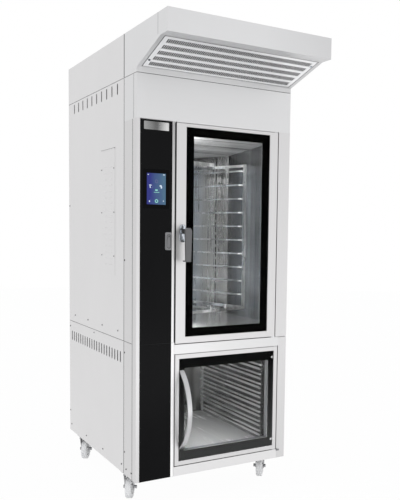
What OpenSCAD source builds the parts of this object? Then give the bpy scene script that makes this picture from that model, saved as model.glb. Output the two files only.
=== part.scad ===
// Rotating rack oven on a proofing cabinet, with an extraction hood.
// Millimetres. The floor is z = 0, the front faces -Y, and the origin is under the middle of the whole oven.

/* [Body] */
// Width of the cabinet
body_w = 920; // [900:10:1000]
// Depth of the cabinet behind its front plane, without the hood's overhang
body_d = 1130; // [1110:10:1250]
// Height of the body's underside above the floor
caster_h = 158; // [154:2:180]
// Height of the proofer module
proofer_h = 718; // [690:2:760]
// Height of the oven door's bay, from the proofer module to the fascia
bay_h = 1142; // [1130:2:1220]
// Height of the plain fascia above the oven door
fascia_h = 220; // [205:5:280]
// Depth of the front section, back to the seam on the cabinet's sides
front_d = 168; // [150:2:190]
// How far the pipe stubs stand out of the back
rear_reach = 30; // [24:1:40]

/* [Sheet metal] */
// Thickness of the panels
sheet = 2; // [1.5:0.5:2.5]
// Width of the panels' folded edges
fold = 18; // [14:1:20]
// Open seam between neighbouring panels
seam = 2.5; // [1:0.5:4]
// Clearance round a pane in its frame
pane_gap = 0.4; // [0.3:0.1:0.8]

/* [Control column] */
// Width of the steel trim on the front left corner
trim_w = 19; // [14:1:24]
// Depth of that trim along the side
trim_d = 50; // [40:2:60]
// Width of the black glass
column_glass_w = 176; // [166:1:190]
// Width of the steel strip between the glass and the doors
strip_w = 19; // [16:1:30]
// Thickness of the black glass
column_glass_t = 6; // [5:1:8]
// Width of the screen's lit area
screen_w = 104; // [90:1:115]
// Height of the screen's lit area
screen_h = 157; // [130:1:180]
// Width of the frame round the screen
bezel = 20; // [12:1:22]
// Height of the screen's middle above the proofer module
screen_z = 795; // [725:5:840]
// How far the screen's frame stands proud of the glass
bezel_proud = 1.5; // [1:0.5:3]
// Width of the door's keeper plate
keeper_w = 35; // [28:1:40]
// Height of the door's keeper plate
keeper_h = 91; // [70:1:110]
// How far the keeper stands proud of the glass
keeper_t = 5; // [3:0.5:8]

/* [Doors] */
// Thickness of both doors
door_t = 46; // [40:1:50]
// Space between a door's back and the frame that it closes on
gasket_t = 10; // [8:1:14]
// Gap beside a door
door_gap = 5; // [4:0.5:7]
// Width of the oven door's left stile
stile_left = 56; // [46:1:64]
// Width of the oven door's right stile
stile_right = 53; // [44:1:60]
// Height of the oven door's top rail
rail_top = 17; // [14:1:26]
// Height of the oven door's bottom rail
rail_bottom = 34; // [24:1:44]
// Width of the black border round the oven door's window
border = 46; // [36:1:54]
// Width of the steel rim round the proofer door's glass
rim = 23; // [18:1:30]
// Width of the black border round the proofer door's window
proofer_border = 52; // [40:1:60]
// Width of that border at the window's left and right
proofer_side_border = 34; // [32:1:44]
// Thickness of a door pane
pane_t = 6; // [5:0.5:7]
// Thickness of a door's inner pane
inner_pane_t = 4; // [3:0.5:5]
// Distance of a hinge axis from the door's edge and from its front
hinge_inset = 9; // [8.5:0.5:11]
// Radius of the hinge pins
hinge_pin_r = 5; // [4:0.5:5.5]
// Thickness of the hinge plates
hinge_t = 4; // [3:0.5:5]
// Radial running clearance of pins, shafts and axles
run_gap = 0.05; // [0.03:0.01:0.08]
// Distance at which a moving part stands off what carries it
rest_gap = 0.4; // [0.3:0.1:0.8]

/* [Handles] */
// Width of the oven door's chrome escutcheon
plate_w = 31; // [26:1:36]
// Height of the oven door's chrome escutcheon
plate_h = 93; // [80:1:110]
// Thickness of the escutcheon
plate_t = 8; // [5:1:10]
// Radius of the lever's spindle
spindle_r = 9; // [7:0.5:11]
// Height of the lever's spindle above the door's lower edge
spindle_h = 589; // [540:1:640]
// Width of the lever's blade
lever_w = 36; // [28:1:40]
// Length of the lever's blade
lever_l = 172; // [140:2:200]
// Thickness of the lever's blade
lever_t = 15; // [12:1:18]
// Distance of the lever's blade from the door
lever_off = 62; // [52:1:75]
// Length of the proofer door's bow handle, end to end
bow_l = 430; // [360:5:460]
// How far the bow handle stands off the glass
bow_rise = 105; // [65:1:120]
// Width of the bow handle's bar
bow_w = 25; // [20:1:30]
// Thickness of the bow handle's bar
bow_t = 7; // [5:0.5:9]

/* [Rack] */
// Width of a tray, across the runners
tray_w = 400; // [380:5:410]
// Length of a tray, along the runners
tray_l = 600; // [570:5:620]
// Number of trays
tiers = 10; // [6:1:10]
// Free height between the rack's posts and the chamber's ceiling
rack_headroom = 107; // [90:1:120]
// Thickness of the rack's posts and tubes
tube = 14; // [10:1:16]
// Play of a tray between the posts
tray_play = 3; // [2:0.5:5]
// Clearance between the turning rack and the chamber's walls
sweep_gap = 22; // [16:1:26]
// Angle at which the rack is parked
rack_rest = 16; // [0:1:90]
// Radius of the rack's drive shaft
shaft_r = 12; // [9:0.5:14]
// Radius of the pin that the rack turns on
pivot_r = 10; // [8:0.5:12]
// Height of the rack's base above the chamber floor
rack_lift = 76; // [60:1:90]

/* [Chamber] */
// Distance of the chamber's middle from the cabinet's middle
chamber_shift = 20; // [10:1:26]
// Drop from the top of the oven door's bay to the chamber's ceiling
ceiling_drop = 38; // [30:1:60]
// Height of the chamber floor above the proofer module
chamber_lift = 57; // [52:1:70]
// Space for the fan motor between the chamber and the back panel
motor_space = 85; // [80:1:110]
// Thickness of the insulation above the chamber
top_insulation = 60; // [40:2:70]
// Radius of the circulation fan
fan_r = 150; // [120:2:170]
// Number of blades on the circulation fan
fan_blades = 12; // [8:1:16]

/* [Proofer] */
// Depth of the proofing cavity
cavity_d = 900; // [820:5:930]
// Number of runners on each side
runner_count = 8; // [5:1:8]
// Height from one runner to the next
runner_pitch = 56; // [50:1:60]
// Thickness of the runner wires
wire = 8; // [6:1:9]

/* [Hood] */
// Height of the hood
hood_h = 222; // [210:2:260]
// How far the hood reaches in front of the cabinet
hood_reach = 362; // [330:2:400]
// Height of the hood's front lip
lip_h = 107; // [90:1:130]
// Depth of the level strip under the lip
lip_d = 72; // [50:1:90]
// Height of the upright strip under the grille
sill_h = 27; // [20:1:40]
// Open gap round the grille in its seat
grille_gap = 2.5; // [1:0.5:4]
// Number of slot rows in the grille
slot_rows = 5; // [3:1:5]
// Number of slots in a row
slot_count = 80; // [60:1:82]
// Length of a slot
slot_l = 31; // [24:1:34]
// Width of a slot
slot_w = 5; // [4:0.5:6]
// Distance from one slot to the next
slot_pitch = 10.3; // [9:0.1:10.4]
// Distance from one slot row to the next
row_pitch = 53.5; // [46:0.5:54]
// Radius of the exhaust collar, outside
collar_r = 100; // [75:1:110]
// Height of the exhaust collar
collar_h = 60; // [40:1:80]
// Distance of the exhaust collar's middle in front of the back
collar_back = 429; // [300:1:560]

/* [Casters] */
// Radius of a wheel
wheel_r = 62; // [50:1:63]
// Width of a wheel
wheel_w = 38; // [28:1:42]
// Trail of the wheel behind its swivel
trail = 30; // [25:1:40]
// Distance of the swivels from the cabinet's sides
caster_x = 38; // [38:1:90]
// Distance of the front swivels behind the front
caster_front = 190; // [160:5:240]
// Distance of the rear swivels in front of the back
caster_rear = 180; // [110:5:200]
// Radius of an axle
axle_r = 6; // [5:0.5:7]
// Radius of a swivel's kingpin
kingpin_r = 7; // [6:0.5:8]

/* [Hidden] */
round_fn = 48;
steel = [0.84, 0.84, 0.85];
inner_steel = [0.72, 0.73, 0.75];
black = [0.09, 0.09, 0.10];
chrome = [0.88, 0.89, 0.91];
clear = [0.30, 0.33, 0.36, 0.45];
cut = 1;

// Levels, counted from the body's underside, and depths, counted from the front plane.
bay_top = proofer_h + bay_h;
body_h = bay_top + fascia_h;
hood_z0 = body_h + seam;
hood_z1 = body_h + hood_h;
front_y = (hood_reach - body_d - rear_reach) / 2;
jamb_y = door_t + gasket_t;
back_y = body_d - sheet;
column_w = trim_w + column_glass_w + strip_w + 2 * pane_gap;
rear_y0 = front_d + seam;

// Door bays and doors, each as [x0, x1, z0, z1].
upper_post_w = 74;
lower_post_w = 54;
proofer_rail_top = 50;
proofer_rail_bottom = 50;
bay_z0 = proofer_h - 11;
oven_bay = [column_w, body_w - upper_post_w, bay_z0, bay_top];
proofer_bay = [column_w, body_w - lower_post_w, proofer_rail_bottom, bay_z0 - proofer_rail_top];
oven_door = [oven_bay[0] + door_gap, oven_bay[1] - door_gap,
             oven_bay[2] + hinge_t + rest_gap, oven_bay[3] - hinge_t - rest_gap];
proofer_door = [proofer_bay[0] + door_gap, proofer_bay[1] - door_gap,
                proofer_bay[2] + hinge_t + rest_gap, proofer_bay[3] - hinge_t - rest_gap];
oven_pane = [oven_door[0] + stile_left, oven_door[1] - stile_right,
             oven_door[2] + rail_bottom, oven_door[3] - rail_top];
oven_window = inset(oven_pane, border);
chamber_h = bay_h - chamber_lift - ceiling_drop;
proofer_pane = inset(proofer_door, rim);
proofer_window = [proofer_pane[0] + proofer_side_border, proofer_pane[1] - proofer_side_border,
                  proofer_pane[2] + proofer_border, proofer_pane[3] - proofer_border];
oven_opening = [oven_pane[0] - 12, oven_pane[1] + 12, proofer_h + chamber_lift - 3,
                proofer_h + chamber_lift + chamber_h - 7];
proofer_opening = inset(proofer_pane, 22);
oven_hinge_x = oven_door[1] - hinge_inset;
proofer_hinge_x = proofer_door[1] - hinge_inset;
pin_l = 34;
lug = 2 * hinge_inset;

// Rack and chamber: the chamber's walls stand round the circle that the rack's corners sweep.
rack_half_w = tray_w / 2 + tray_play + tube;
rack_half_l = tray_l / 2 + tray_play;
sweep_r = sqrt(pow(rack_half_w, 2) + pow(rack_half_l, 2)) + sweep_gap;
turn = sweep_r * tan(22.5);
rack_x = body_w / 2 + chamber_shift;
chamber_x0 = rack_x - sweep_r;
chamber_x1 = rack_x + sweep_r;
chamber_y0 = jamb_y + 2 * sheet;
rack_y = chamber_y0 + sweep_r;
duct_y = rack_y + sweep_r;
chamber_y1 = back_y - motor_space - sheet;
fan_space = chamber_y1 - duct_y - sheet;
chamber_z0 = proofer_h + chamber_lift;
chamber_z1 = chamber_z0 + chamber_h;
jamb_x = oven_opening[0] - 26;
fan_z = (chamber_z0 + chamber_z1) / 2;
base_z0 = chamber_z0 + rack_lift;
base_z1 = base_z0 + tube;
first_tier = 66;
post_rise = 64;
rack_top = chamber_z1 - rack_headroom;
tier_pitch = (rack_top - base_z1 - first_tier - post_rise) / (tiers - 1);
gear_z = chamber_z1 + sheet + top_insulation;
runner_w = 6;
runner_h = 8;
runner_in = 13;
runner_bend = 27;

// Proofing cavity.
cavity_x0 = proofer_opening[0] - 28;
cavity_x1 = proofer_opening[1] + 22;
cavity_z0 = proofer_opening[2] - 22;
cavity_z1 = proofer_opening[3] + 26;
cavity_y0 = jamb_y + 2 * sheet;
cavity_y1 = cavity_y0 + cavity_d;
wire_y0 = cavity_y0 + 40;
wire_y1 = cavity_y1 - 80;

// Hood.
slope_y = hood_reach - lip_d;
slope_z = hood_h - lip_h - sill_h;
slope_a = atan2(slope_z, slope_y);
slope_l = sqrt(pow(slope_y, 2) + pow(slope_z, 2));
lip_z0 = hood_z1 - lip_h;
sill_z = body_h + sill_h;
grille_x0 = 22;
grille_s0 = 10;
grille_s1 = slope_l - 4;
first_row = 43;
blower_y = body_d - collar_back;

// Casters.
caster_plate = 72;
caster_plate_t = 4;
race_t = 6;
crown_z = -caster_plate_t - race_t - rest_gap;
crown_t = 5;
axle_z = wheel_r - caster_h;
leg_t = 4;
leg_x = wheel_w / 2 + 2;
caster_places = [[caster_x, caster_front], [body_w - caster_x, caster_front],
                 [caster_x, body_d - caster_rear], [body_w - caster_x, body_d - caster_rear]];
// How far each swivel is turned at rest: the front right wheel trails forwards.
caster_turn = [-33, 140, -33, -33];

// ---------------------------------------------------------------- helpers

// Moves parts drawn from the front left corner of the body's underside to their place.
module in_body() translate([-body_w / 2, front_y, caster_h]) children();

// The other side of the cabinet.
module other_side() translate([body_w, 0, 0]) mirror([1, 0, 0]) children();

module box(x0, x1, y0, y1, z0, z1) translate([x0, y0, z0]) cube([x1 - x0, y1 - y0, z1 - z0]);

// A front rectangle [x0, x1, z0, z1] as a plate from depth y0 to depth y1.
module plate(r, y0, y1) box(r[0], r[1], y0, y1, r[2], r[3]);

function inset(r, d) = [r[0] + d, r[1] - d, r[2] + d, r[3] - d];

// A frame between two front rectangles.
module ring(outer, inner, y0, y1) difference() {
    plate(outer, y0, y1);
    plate(inner, y0 - cut, y1 + cut);
}

module rounded(w, h, r) {
    translate([r, 0]) square([w - 2 * r, h]);
    translate([0, r]) square([w, h - 2 * r]);
    for (x = [r, w - r], y = [r, h - r]) translate([x, y]) circle(r, $fn = round_fn);
}

// A round bar or hole along Y.
module bar_y(r, x, z, y0, y1)
    translate([x, y0, z]) rotate([-90, 0, 0]) cylinder(r = r, h = y1 - y0, $fn = round_fn);

module bar_z(r, x, y, z0, z1)
    translate([x, y, z0]) cylinder(r = r, h = z1 - z0, $fn = round_fn);

// A pan-shaped side panel: its face on x = 0 and its folded edges inwards.
module side_pan(y0, y1, z0, z1) difference() {
    box(0, fold, y0, y1, z0, z1);
    box(sheet, fold + cut, y0 + sheet, y1 - sheet, z0 + sheet, z1 - sheet);
}

// Upright slots with round ends through a side panel.
module side_slots(count, y0, y1, z0, h, w) {
    for (i = [0 : count - 1])
        translate([-cut, y0 + i * (y1 - y0) / (count - 1), z0])
            rotate([90, 0, 90]) linear_extrude(sheet + 2 * cut) {
                translate([-w / 2, w / 2]) square([w, h - w]);
                for (z = [w / 2, h - w / 2]) translate([0, z]) circle(w / 2, $fn = 24);
            }
}

// ---------------------------------------------------------------- base and casters

// Floor pan with upturned edges and cross channels, four uprights and the deck between the two modules.
base_beam = 40;
upright = 20;
module carcass() color(inner_steel) in_body() {
    x0 = fold;
    x1 = body_w - fold;
    y1 = back_y;
    difference() {
        box(x0, x1, front_d, y1, 0, base_beam);
        box(x0 + sheet, x1 - sheet, front_d + sheet, y1 - sheet, sheet, base_beam + cut);
    }
    for (y = [front_d + sheet, body_d / 2, body_d - caster_rear - 10]) difference() {
        box(x0 + sheet, x1 - sheet, y, y + base_beam, sheet, base_beam);
        box(x0, x1, y + sheet, y + base_beam - sheet, 0, base_beam - sheet);
    }
    for (x = [x0, x1 - upright], y = [front_d, y1 - upright]) difference() {
        box(x, x + upright, y, y + upright, base_beam, body_h - sheet);
        box(x + sheet, x + upright - sheet, y + sheet, y + upright - sheet, base_beam, body_h);
    }
    box(x0, x1, front_d, y1, proofer_h - sheet, proofer_h);
}

// Space that the uprights and the columns' rear flanges take out of the insulation.
module upright_space() for (x = [0, body_w - fold - upright - 1], y = [front_d - 4, back_y - upright - 1])
    box(x, x + fold + upright + 1, y, y + upright + 5, 0, body_h);

module caster_plates() color(chrome) in_body() for (p = caster_places) translate([p[0], p[1], 0]) {
    difference() {
        union() {
            translate([-caster_plate / 2, -caster_plate / 2, -caster_plate_t])
                cube([caster_plate, caster_plate, caster_plate_t]);
            bar_z(30, 0, 0, -caster_plate_t - race_t, -caster_plate_t);
        }
        bar_z(kingpin_r + run_gap, 0, 0, -caster_plate_t - race_t - cut, cut);
    }
    for (x = [-1, 1], y = [-1, 1])
        translate([x * (caster_plate / 2 - 9.5), y * (caster_plate / 2 - 9.5), -caster_plate_t - 4])
            cylinder(r = 6, h = 4, $fn = 6);
}

module at_caster(i) in_body() translate([caster_places[i][0], caster_places[i][1], 0])
    rotate([0, 0, caster_turn[i]]) children();

module fork_leg() rotate([90, 0, 90]) linear_extrude(leg_t) difference() {
    union() {
        polygon([[-24, crown_z], [26, crown_z], [trail + 13, axle_z + 6], [trail - 13, axle_z - 4]]);
        translate([trail, axle_z]) circle(14, $fn = round_fn);
    }
    translate([trail, axle_z]) circle(axle_r, $fn = round_fn);
}

module caster_fork(i) color(chrome) at_caster(i) {
    box(-leg_x - leg_t, leg_x + leg_t, -28, 28, crown_z - crown_t, crown_z);
    bar_z(kingpin_r, 0, 0, crown_z, -rest_gap);
    for (s = [0, 1]) mirror([s, 0, 0]) translate([leg_x, 0, -crown_t]) fork_leg_below();
    axle_bolt();
}

// A leg starts under the crown plate.
module fork_leg_below() translate([0, 0, crown_t]) difference() {
    fork_leg();
    translate([-cut, -100, crown_z - crown_t]) cube([leg_t + 2 * cut, 200, crown_t + cut]);
}

module axle_bolt() translate([0, trail, axle_z]) rotate([0, 90, 0]) {
    translate([0, 0, -leg_x - leg_t]) cylinder(r = axle_r, h = 2 * (leg_x + leg_t), $fn = round_fn);
    translate([0, 0, leg_x + leg_t]) cylinder(r = 10, h = 13, $fn = 6);
    translate([0, 0, -leg_x - leg_t - 10]) cylinder(r = 10, h = 10, $fn = 6);
}

module caster_wheel(i) color([0.93, 0.93, 0.90]) at_caster(i)
    translate([0, trail, axle_z]) rotate([0, 90, 0]) rotate_extrude($fn = 96) wheel_profile();

// Half section of a wheel: hub, web and a tread with rounded shoulders.
module wheel_profile() difference() {
    union() {
        translate([axle_r + run_gap, -wheel_w / 2]) square([16 - axle_r, wheel_w]);
        translate([axle_r + run_gap, -5]) square([wheel_r - 16, 10]);
        translate([wheel_r - 18, -wheel_w / 2 + 3]) square([18 - 3, wheel_w - 6]);
        translate([wheel_r - 18, -wheel_w / 2 + 6]) square([18, wheel_w - 12]);
        for (s = [-1, 1]) translate([wheel_r - 6, s * (wheel_w / 2 - 9)]) circle(6, $fn = round_fn);
    }
}

module fork_front_left() caster_fork(0);
module fork_front_right() caster_fork(1);
module fork_rear_left() caster_fork(2);
module fork_rear_right() caster_fork(3);
module wheel_front_left() caster_wheel(0);
module wheel_front_right() caster_wheel(1);
module wheel_rear_left() caster_wheel(2);
module wheel_rear_right() caster_wheel(3);

// ---------------------------------------------------------------- cabinet panels

vent_w = 6;
module proofer_side() difference() {
    side_pan(rear_y0, back_y, 0, proofer_h - seam / 2);
    side_slots(21, rear_y0 + 49, back_y - 54, proofer_h - 119, 54, vent_w);
}

module oven_side() difference() {
    side_pan(rear_y0, back_y, proofer_h + seam / 2, body_h - sheet);
    side_slots(10, rear_y0 + 96, back_y - 116, body_h - 66, 52, vent_w);
}

module proofer_left_panel() color(steel) in_body() proofer_side();
module proofer_right_panel() color(steel) in_body() other_side() proofer_side();
module oven_left_panel() color(steel) in_body() oven_side();
module oven_right_panel() color(steel) in_body() other_side() oven_side();

// Louvred strip on the left side that covers the wiring to the side heaters.
cover_y0 = rear_y0 + 132;
cover_w = 211;
cover_z0 = proofer_h + 337;
cover_h = 685;
cover_t = 1;
cover_proud = 2.5;
louvre_l = 34;
louvre_pitch = 33;
module access_cover() color(steel) in_body() {
    louvres = floor((cover_h - 110) / louvre_pitch);
    difference() {
        union() {
            box(-cover_t, 0, cover_y0, cover_y0 + cover_w, cover_z0, cover_z0 + cover_h);
            box(-cover_proud, 0, cover_y0 + 6, cover_y0 + cover_w - 6,
                cover_z0 + cover_h - 4, cover_z0 + cover_h);
            intersection() {
                for (i = [0 : louvres - 1], y = [0.30, 0.75])
                    bar_y(6, 6 - cover_proud, cover_z0 + 60 + i * louvre_pitch,
                          cover_y0 + y * cover_w - louvre_l / 2, cover_y0 + y * cover_w + louvre_l / 2);
                box(-cover_proud, 0, cover_y0, cover_y0 + cover_w, cover_z0, cover_z0 + cover_h);
            }
        }
    }
}

fitting_z = [base_beam + 26, proofer_h - 78, bay_top + 110];
fitting_x = [body_w / 2, body_w - 200, body_w - 120];
fitting_r = [20, 13.2, 14];
module back_panel() color(steel) in_body() difference() {
    box(0, body_w, back_y, body_d, 0, body_h - sheet);
    for (i = [0 : 2]) bar_y(fitting_r[i] + pane_gap, fitting_x[i], fitting_z[i], back_y - cut, body_d + cut);
    for (i = [0 : 11], row = [0, 1])
        box(160 + i * 30, 160 + i * 30 + vent_w, back_y - cut, body_d + cut,
            bay_top + 70 + row * 70, bay_top + 120 + row * 70);
}

module roof_panel() color(steel) in_body() difference() {
    box(0, body_w, rear_y0, body_d, body_h - sheet, body_h);
    bar_z(40, body_w - 150, body_d - 180, body_h - 10, body_h + cut);
}

module top_fascia() color(steel) in_body() difference() {
    box(0, body_w, 0, front_d, bay_top, body_h);
    box(sheet, body_w - sheet, sheet, front_d + cut, bay_top + sheet, body_h - sheet);
    box(sheet, body_w - sheet, jamb_y + sheet, front_d + cut, bay_top - cut, bay_top + sheet + cut);
}

// Depth of the columns' rear flanges, which lap the uprights.
flange = fold + upright / 2;

// The column's side cover in two lengths, its glass carrier with the bright strip, and the corner trim.
module left_column() color(steel) in_body() {
    glass_x1 = trim_w + column_glass_w + 2 * pane_gap;
    for (z = [[0, proofer_h - seam / 2], [proofer_h + seam / 2, bay_top]]) difference() {
        box(0, flange, trim_d + seam, front_d, z[0], z[1]);
        box(sheet, flange + cut, trim_d + seam + sheet, front_d - sheet, z[0] - cut, z[1] + cut);
    }
    difference() {
        union() {
            box(sheet, column_w - sheet, column_glass_t, column_glass_t + sheet, 0, bay_top);
            box(glass_x1, column_w, 0, sheet, 0, bay_top);
            box(glass_x1, glass_x1 + sheet, 0, column_glass_t + sheet, 0, bay_top);
            box(column_w - sheet, column_w, 0, jamb_y + sheet, 0, bay_top);
        }
        plate(inset(screen_frame(), 6), -cut, jamb_y);
    }
    box(0, trim_w, 0, sheet, 0, bay_top);
    box(trim_w - sheet, trim_w, 0, column_glass_t, 0, bay_top);
    box(0, sheet, 0, trim_d, 0, bay_top);
}

function glass_x0() = trim_w + pane_gap;
function screen_cx() = glass_x0() + column_glass_w / 2;
function screen_cz() = proofer_h + screen_z;
function screen_frame() = [screen_cx() - screen_w / 2 - bezel, screen_cx() + screen_w / 2 + bezel,
                           screen_cz() - screen_h / 2 - bezel, screen_cz() + screen_h / 2 + bezel];

module column_glass() color(black) in_body() difference() {
    for (z = [[0, proofer_h - seam / 2], [proofer_h + seam / 2, bay_top - seam]])
        box(glass_x0(), glass_x0() + column_glass_w, 0, column_glass_t, z[0], z[1]);
    plate(inset(screen_frame(), 6), -cut, column_glass_t + cut);
}

module screen_bezel() color([0.03, 0.03, 0.04]) in_body()
    ring(screen_frame(), inset(screen_frame(), bezel), -bezel_proud, 0);

module touch_screen() color([0.15, 0.32, 0.55]) in_body() {
    plate(inset(screen_frame(), bezel + 0.3), -bezel_proud + 0.5, 0);
    plate(inset(screen_frame(), 6 + pane_gap), 0, 34);
}

module door_keeper() color([0.62, 0.62, 0.62]) in_body() {
    x0 = glass_x0() + column_glass_w - keeper_w - 3;
    z0 = spindle_z() - 97;
    translate([x0, 0, z0]) rotate([90, 0, 0]) difference() {
        linear_extrude(keeper_t) rounded(keeper_w, keeper_h, 7);
        translate([11, 12, 2]) linear_extrude(keeper_t) rounded(keeper_w - 17, keeper_h - 34, 4);
    }
    translate([x0 + 13, 0, z0 + 58]) rotate([90, 0, 0]) linear_extrude(keeper_t + 1) square([13, 7]);
}

// Corner post on the right, wide beside the oven door and narrow beside the proofer door.
module post(x0, z0, z1) {
    box(x0, body_w, 0, sheet, z0, z1);
    box(x0, x0 + sheet, 0, jamb_y, z0, z1);
    box(body_w - sheet, body_w, 0, front_d, z0, z1);
    box(body_w - flange, body_w, front_d - sheet, front_d, z0, z1);
}

module right_column() color(steel) in_body() {
    post(oven_bay[1], bay_z0 + seam / 2, bay_top);
    post(proofer_bay[1], 0, bay_z0 - seam / 2);
}

// ---------------------------------------------------------------- oven chamber

// Frame that the oven door closes on.
module oven_front_frame() color(inner_steel) in_body()
    ring([oven_bay[0], oven_bay[1] + sheet, oven_bay[2], oven_bay[3]], oven_opening, jamb_y, jamb_y + sheet);

// Plan of the chamber, grown outwards by s. Its front left corner is cut off beside the column.
function chamber_plan(s) = let (q = chamber_x0 + rack_y - turn - s * sqrt(2)) [
    [jamb_x - s, chamber_y0 - s], [chamber_x1 + s, chamber_y0 - s], [chamber_x1 + s, chamber_y1 + s],
    [chamber_x0 - s, chamber_y1 + s], [chamber_x0 - s, q - chamber_x0 + s], [jamb_x - s, q - jamb_x + s]];

floor_boss_h = 30;
module chamber_liner() color(inner_steel) in_body() {
    difference() {
        union() {
            translate([0, 0, chamber_z0 - sheet])
                linear_extrude(chamber_h + 2 * sheet) polygon(chamber_plan(sheet));
            bar_z(shaft_r + 10, rack_x, rack_y, chamber_z1, gear_z);
        }
        translate([0, 0, chamber_z0]) linear_extrude(chamber_h) polygon(chamber_plan(0));
        plate([oven_opening[0], oven_opening[1], chamber_z0, oven_opening[3]], 0, chamber_y0 + cut);
        bar_z(shaft_r + 3, rack_x, rack_y, chamber_z1 - cut, gear_z + cut);
        bar_y(fan_shaft_r + 3, rack_x, fan_z, chamber_y1 - cut, chamber_y1 + sheet + cut);
    }
    difference() {
        bar_z(pivot_r + 14, rack_x, rack_y, chamber_z0, chamber_z0 + floor_boss_h);
        bar_z(pivot_r + run_gap, rack_x, rack_y, chamber_z0 + 4, chamber_z0 + floor_boss_h + cut);
    }
}

module insulation() color([0.80, 0.76, 0.62]) in_body() difference() {
    union() {
        box(fold, body_w - fold, jamb_y + sheet, back_y, proofer_h, gear_z);
        box(fold, body_w - fold, jamb_y + sheet, back_y, base_beam, proofer_h - sheet);
    }
    translate([0, 0, chamber_z0 - sheet])
        linear_extrude(chamber_h + 2 * sheet) polygon(chamber_plan(sheet));
    plate([oven_opening[0], oven_opening[1], chamber_z0 - 3, oven_opening[3]], 0, chamber_y0 + cut);
    box(cavity_x0 - sheet, cavity_x1 + sheet, 0, cavity_y1 + sheet, cavity_z0 - sheet, cavity_z1 + sheet);
    box(-cut, column_w + 3, 0, front_d, 0, gear_z + cut);
    box(-cut, body_w + cut, 0, front_d, bay_top - seam, gear_z + cut);
    box(-cut, body_w + cut, 0, front_d + cut, proofer_h - sheet, proofer_h);
    bar_z(shaft_r + 10, rack_x, rack_y, chamber_z1, gear_z + cut);
    bar_y(motor_r + 2, rack_x, fan_z, chamber_y1, back_y + cut);
    for (i = [0 : 2]) bar_y(fitting_r[i] + 2, fitting_x[i], fitting_z[i], back_y - 16, back_y + cut);
    upright_space();
}

// Air panel behind the rack: a middle sheet with the fan's intake and two slotted wings.
wing_slots = 12;
module air_duct_panel() color([0.66, 0.70, 0.76]) in_body() difference() {
    wx = rack_x - turn;
    ex = rack_x + turn;
    wy = rack_y + turn;
    t = sheet * tan(22.5);
    translate([0, 0, chamber_z0]) linear_extrude(chamber_h) polygon([
        [chamber_x0, wy], [wx, duct_y], [ex, duct_y], [chamber_x1, wy],
        [chamber_x1, wy + sheet * sqrt(2)], [ex + t, duct_y + sheet], [wx - t, duct_y + sheet],
        [chamber_x0, wy + sheet * sqrt(2)]]);
    for (i = [0 : wing_slots - 1], side = [-1, 1], k = [-1, 1])
        translate([rack_x, rack_y, chamber_z0 + 50 + i * (chamber_h - 100) / wing_slots])
            rotate([0, 0, -side * 45]) box(k * turn * 0.5 - 4, k * turn * 0.5 + 4, sweep_r - 8, sweep_r + 8,
                                           0, (chamber_h - 100) / wing_slots - 16);
    intake();
}

// The intake is a ring of holes round the fan's eye.
module intake() for (ring_r = [22, 48, 74, 100])
    for (a = [0 : 360 / round(ring_r / 4) : 359])
        bar_y(8, rack_x + ring_r * cos(a), fan_z + ring_r * sin(a), duct_y - cut, duct_y + sheet + cut);

fan_shaft_r = 8;
fan_gap = 26;
motor_r = 70;
module fan_motor() color([0.35, 0.37, 0.40]) in_body() difference() {
    union() {
        bar_y(motor_r, rack_x, fan_z, chamber_y1 + sheet, chamber_y1 + sheet + 6);
        bar_y(motor_r - 12, rack_x, fan_z, chamber_y1 + sheet, back_y - 12);
        for (a = [0 : 15 : 345]) translate([rack_x, 0, fan_z]) rotate([0, a, 0])
            box(-1.5, 1.5, chamber_y1 + sheet + 14, back_y - 18, motor_r - 14, motor_r - 4);
    }
    bar_y(fan_shaft_r + run_gap, rack_x, fan_z, chamber_y1, back_y - 30);
}

module fan_wheel() color([0.60, 0.61, 0.63]) in_body() {
    fan_y = chamber_y1 - fan_gap;
    blade_l = fan_space - 2 * fan_gap - 10;
    translate([rack_x, fan_y, fan_z]) rotate([-90, 0, 0]) {
        translate([0, 0, -6]) cylinder(r = fan_r, h = sheet, $fn = 96);
        translate([0, 0, -24]) cylinder(r = 28, h = 40, $fn = round_fn);
        cylinder(r = fan_shaft_r, h = back_y - 34 - fan_y, $fn = round_fn);
        for (i = [0 : fan_blades - 1]) rotate([0, 0, i * 360 / fan_blades])
            translate([fan_r - 62, -10, -5 - blade_l]) rotate([0, 0, -28]) cube([58, sheet, blade_l]);
    }
}

heater_r = 5;
heater_pitch = (fan_space - 2 * fan_gap) / 2;
module heating_elements() color([0.30, 0.30, 0.32]) in_body() for (k = [0, 1, 2])
    translate([rack_x, chamber_y1 - fan_gap - heater_pitch * k, fan_z]) rotate([-90, 0, 0]) {
        ring_r = fan_r + 30 + 12 * k;
        rotate_extrude($fn = 96) translate([ring_r, 0]) circle(heater_r, $fn = 24);
        rotate([0, 0, 14 * k]) translate([ring_r, 0, 0])
            cylinder(r = heater_r, h = fan_gap + heater_pitch * k, $fn = 24);
    }

module chamber_gasket() color([0.12, 0.12, 0.12]) in_body() {
    ring(inset(oven_opening, -12), oven_opening, door_t + rest_gap, jamb_y);
    ring(inset(proofer_opening, -12), proofer_opening, door_t + rest_gap, jamb_y);
}

module rack_gearmotor() color([0.25, 0.35, 0.45]) in_body() difference() {
    union() {
        box(rack_x - 90, rack_x + 90, rack_y - 90, rack_y + 90, gear_z, gear_z + 6);
        bar_z(58, rack_x, rack_y, gear_z + 6, gear_z + 84);
        translate([rack_x, rack_y, gear_z + 50]) rotate([0, -90, 0])
            cylinder(r = 40, h = 200, $fn = round_fn);
        translate([rack_x - 120, rack_y - 32, gear_z + 84]) cube([66, 64, 26]);
    }
    bar_z(shaft_r + run_gap, rack_x, rack_y, gear_z - cut, gear_z + 74);
}

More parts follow.
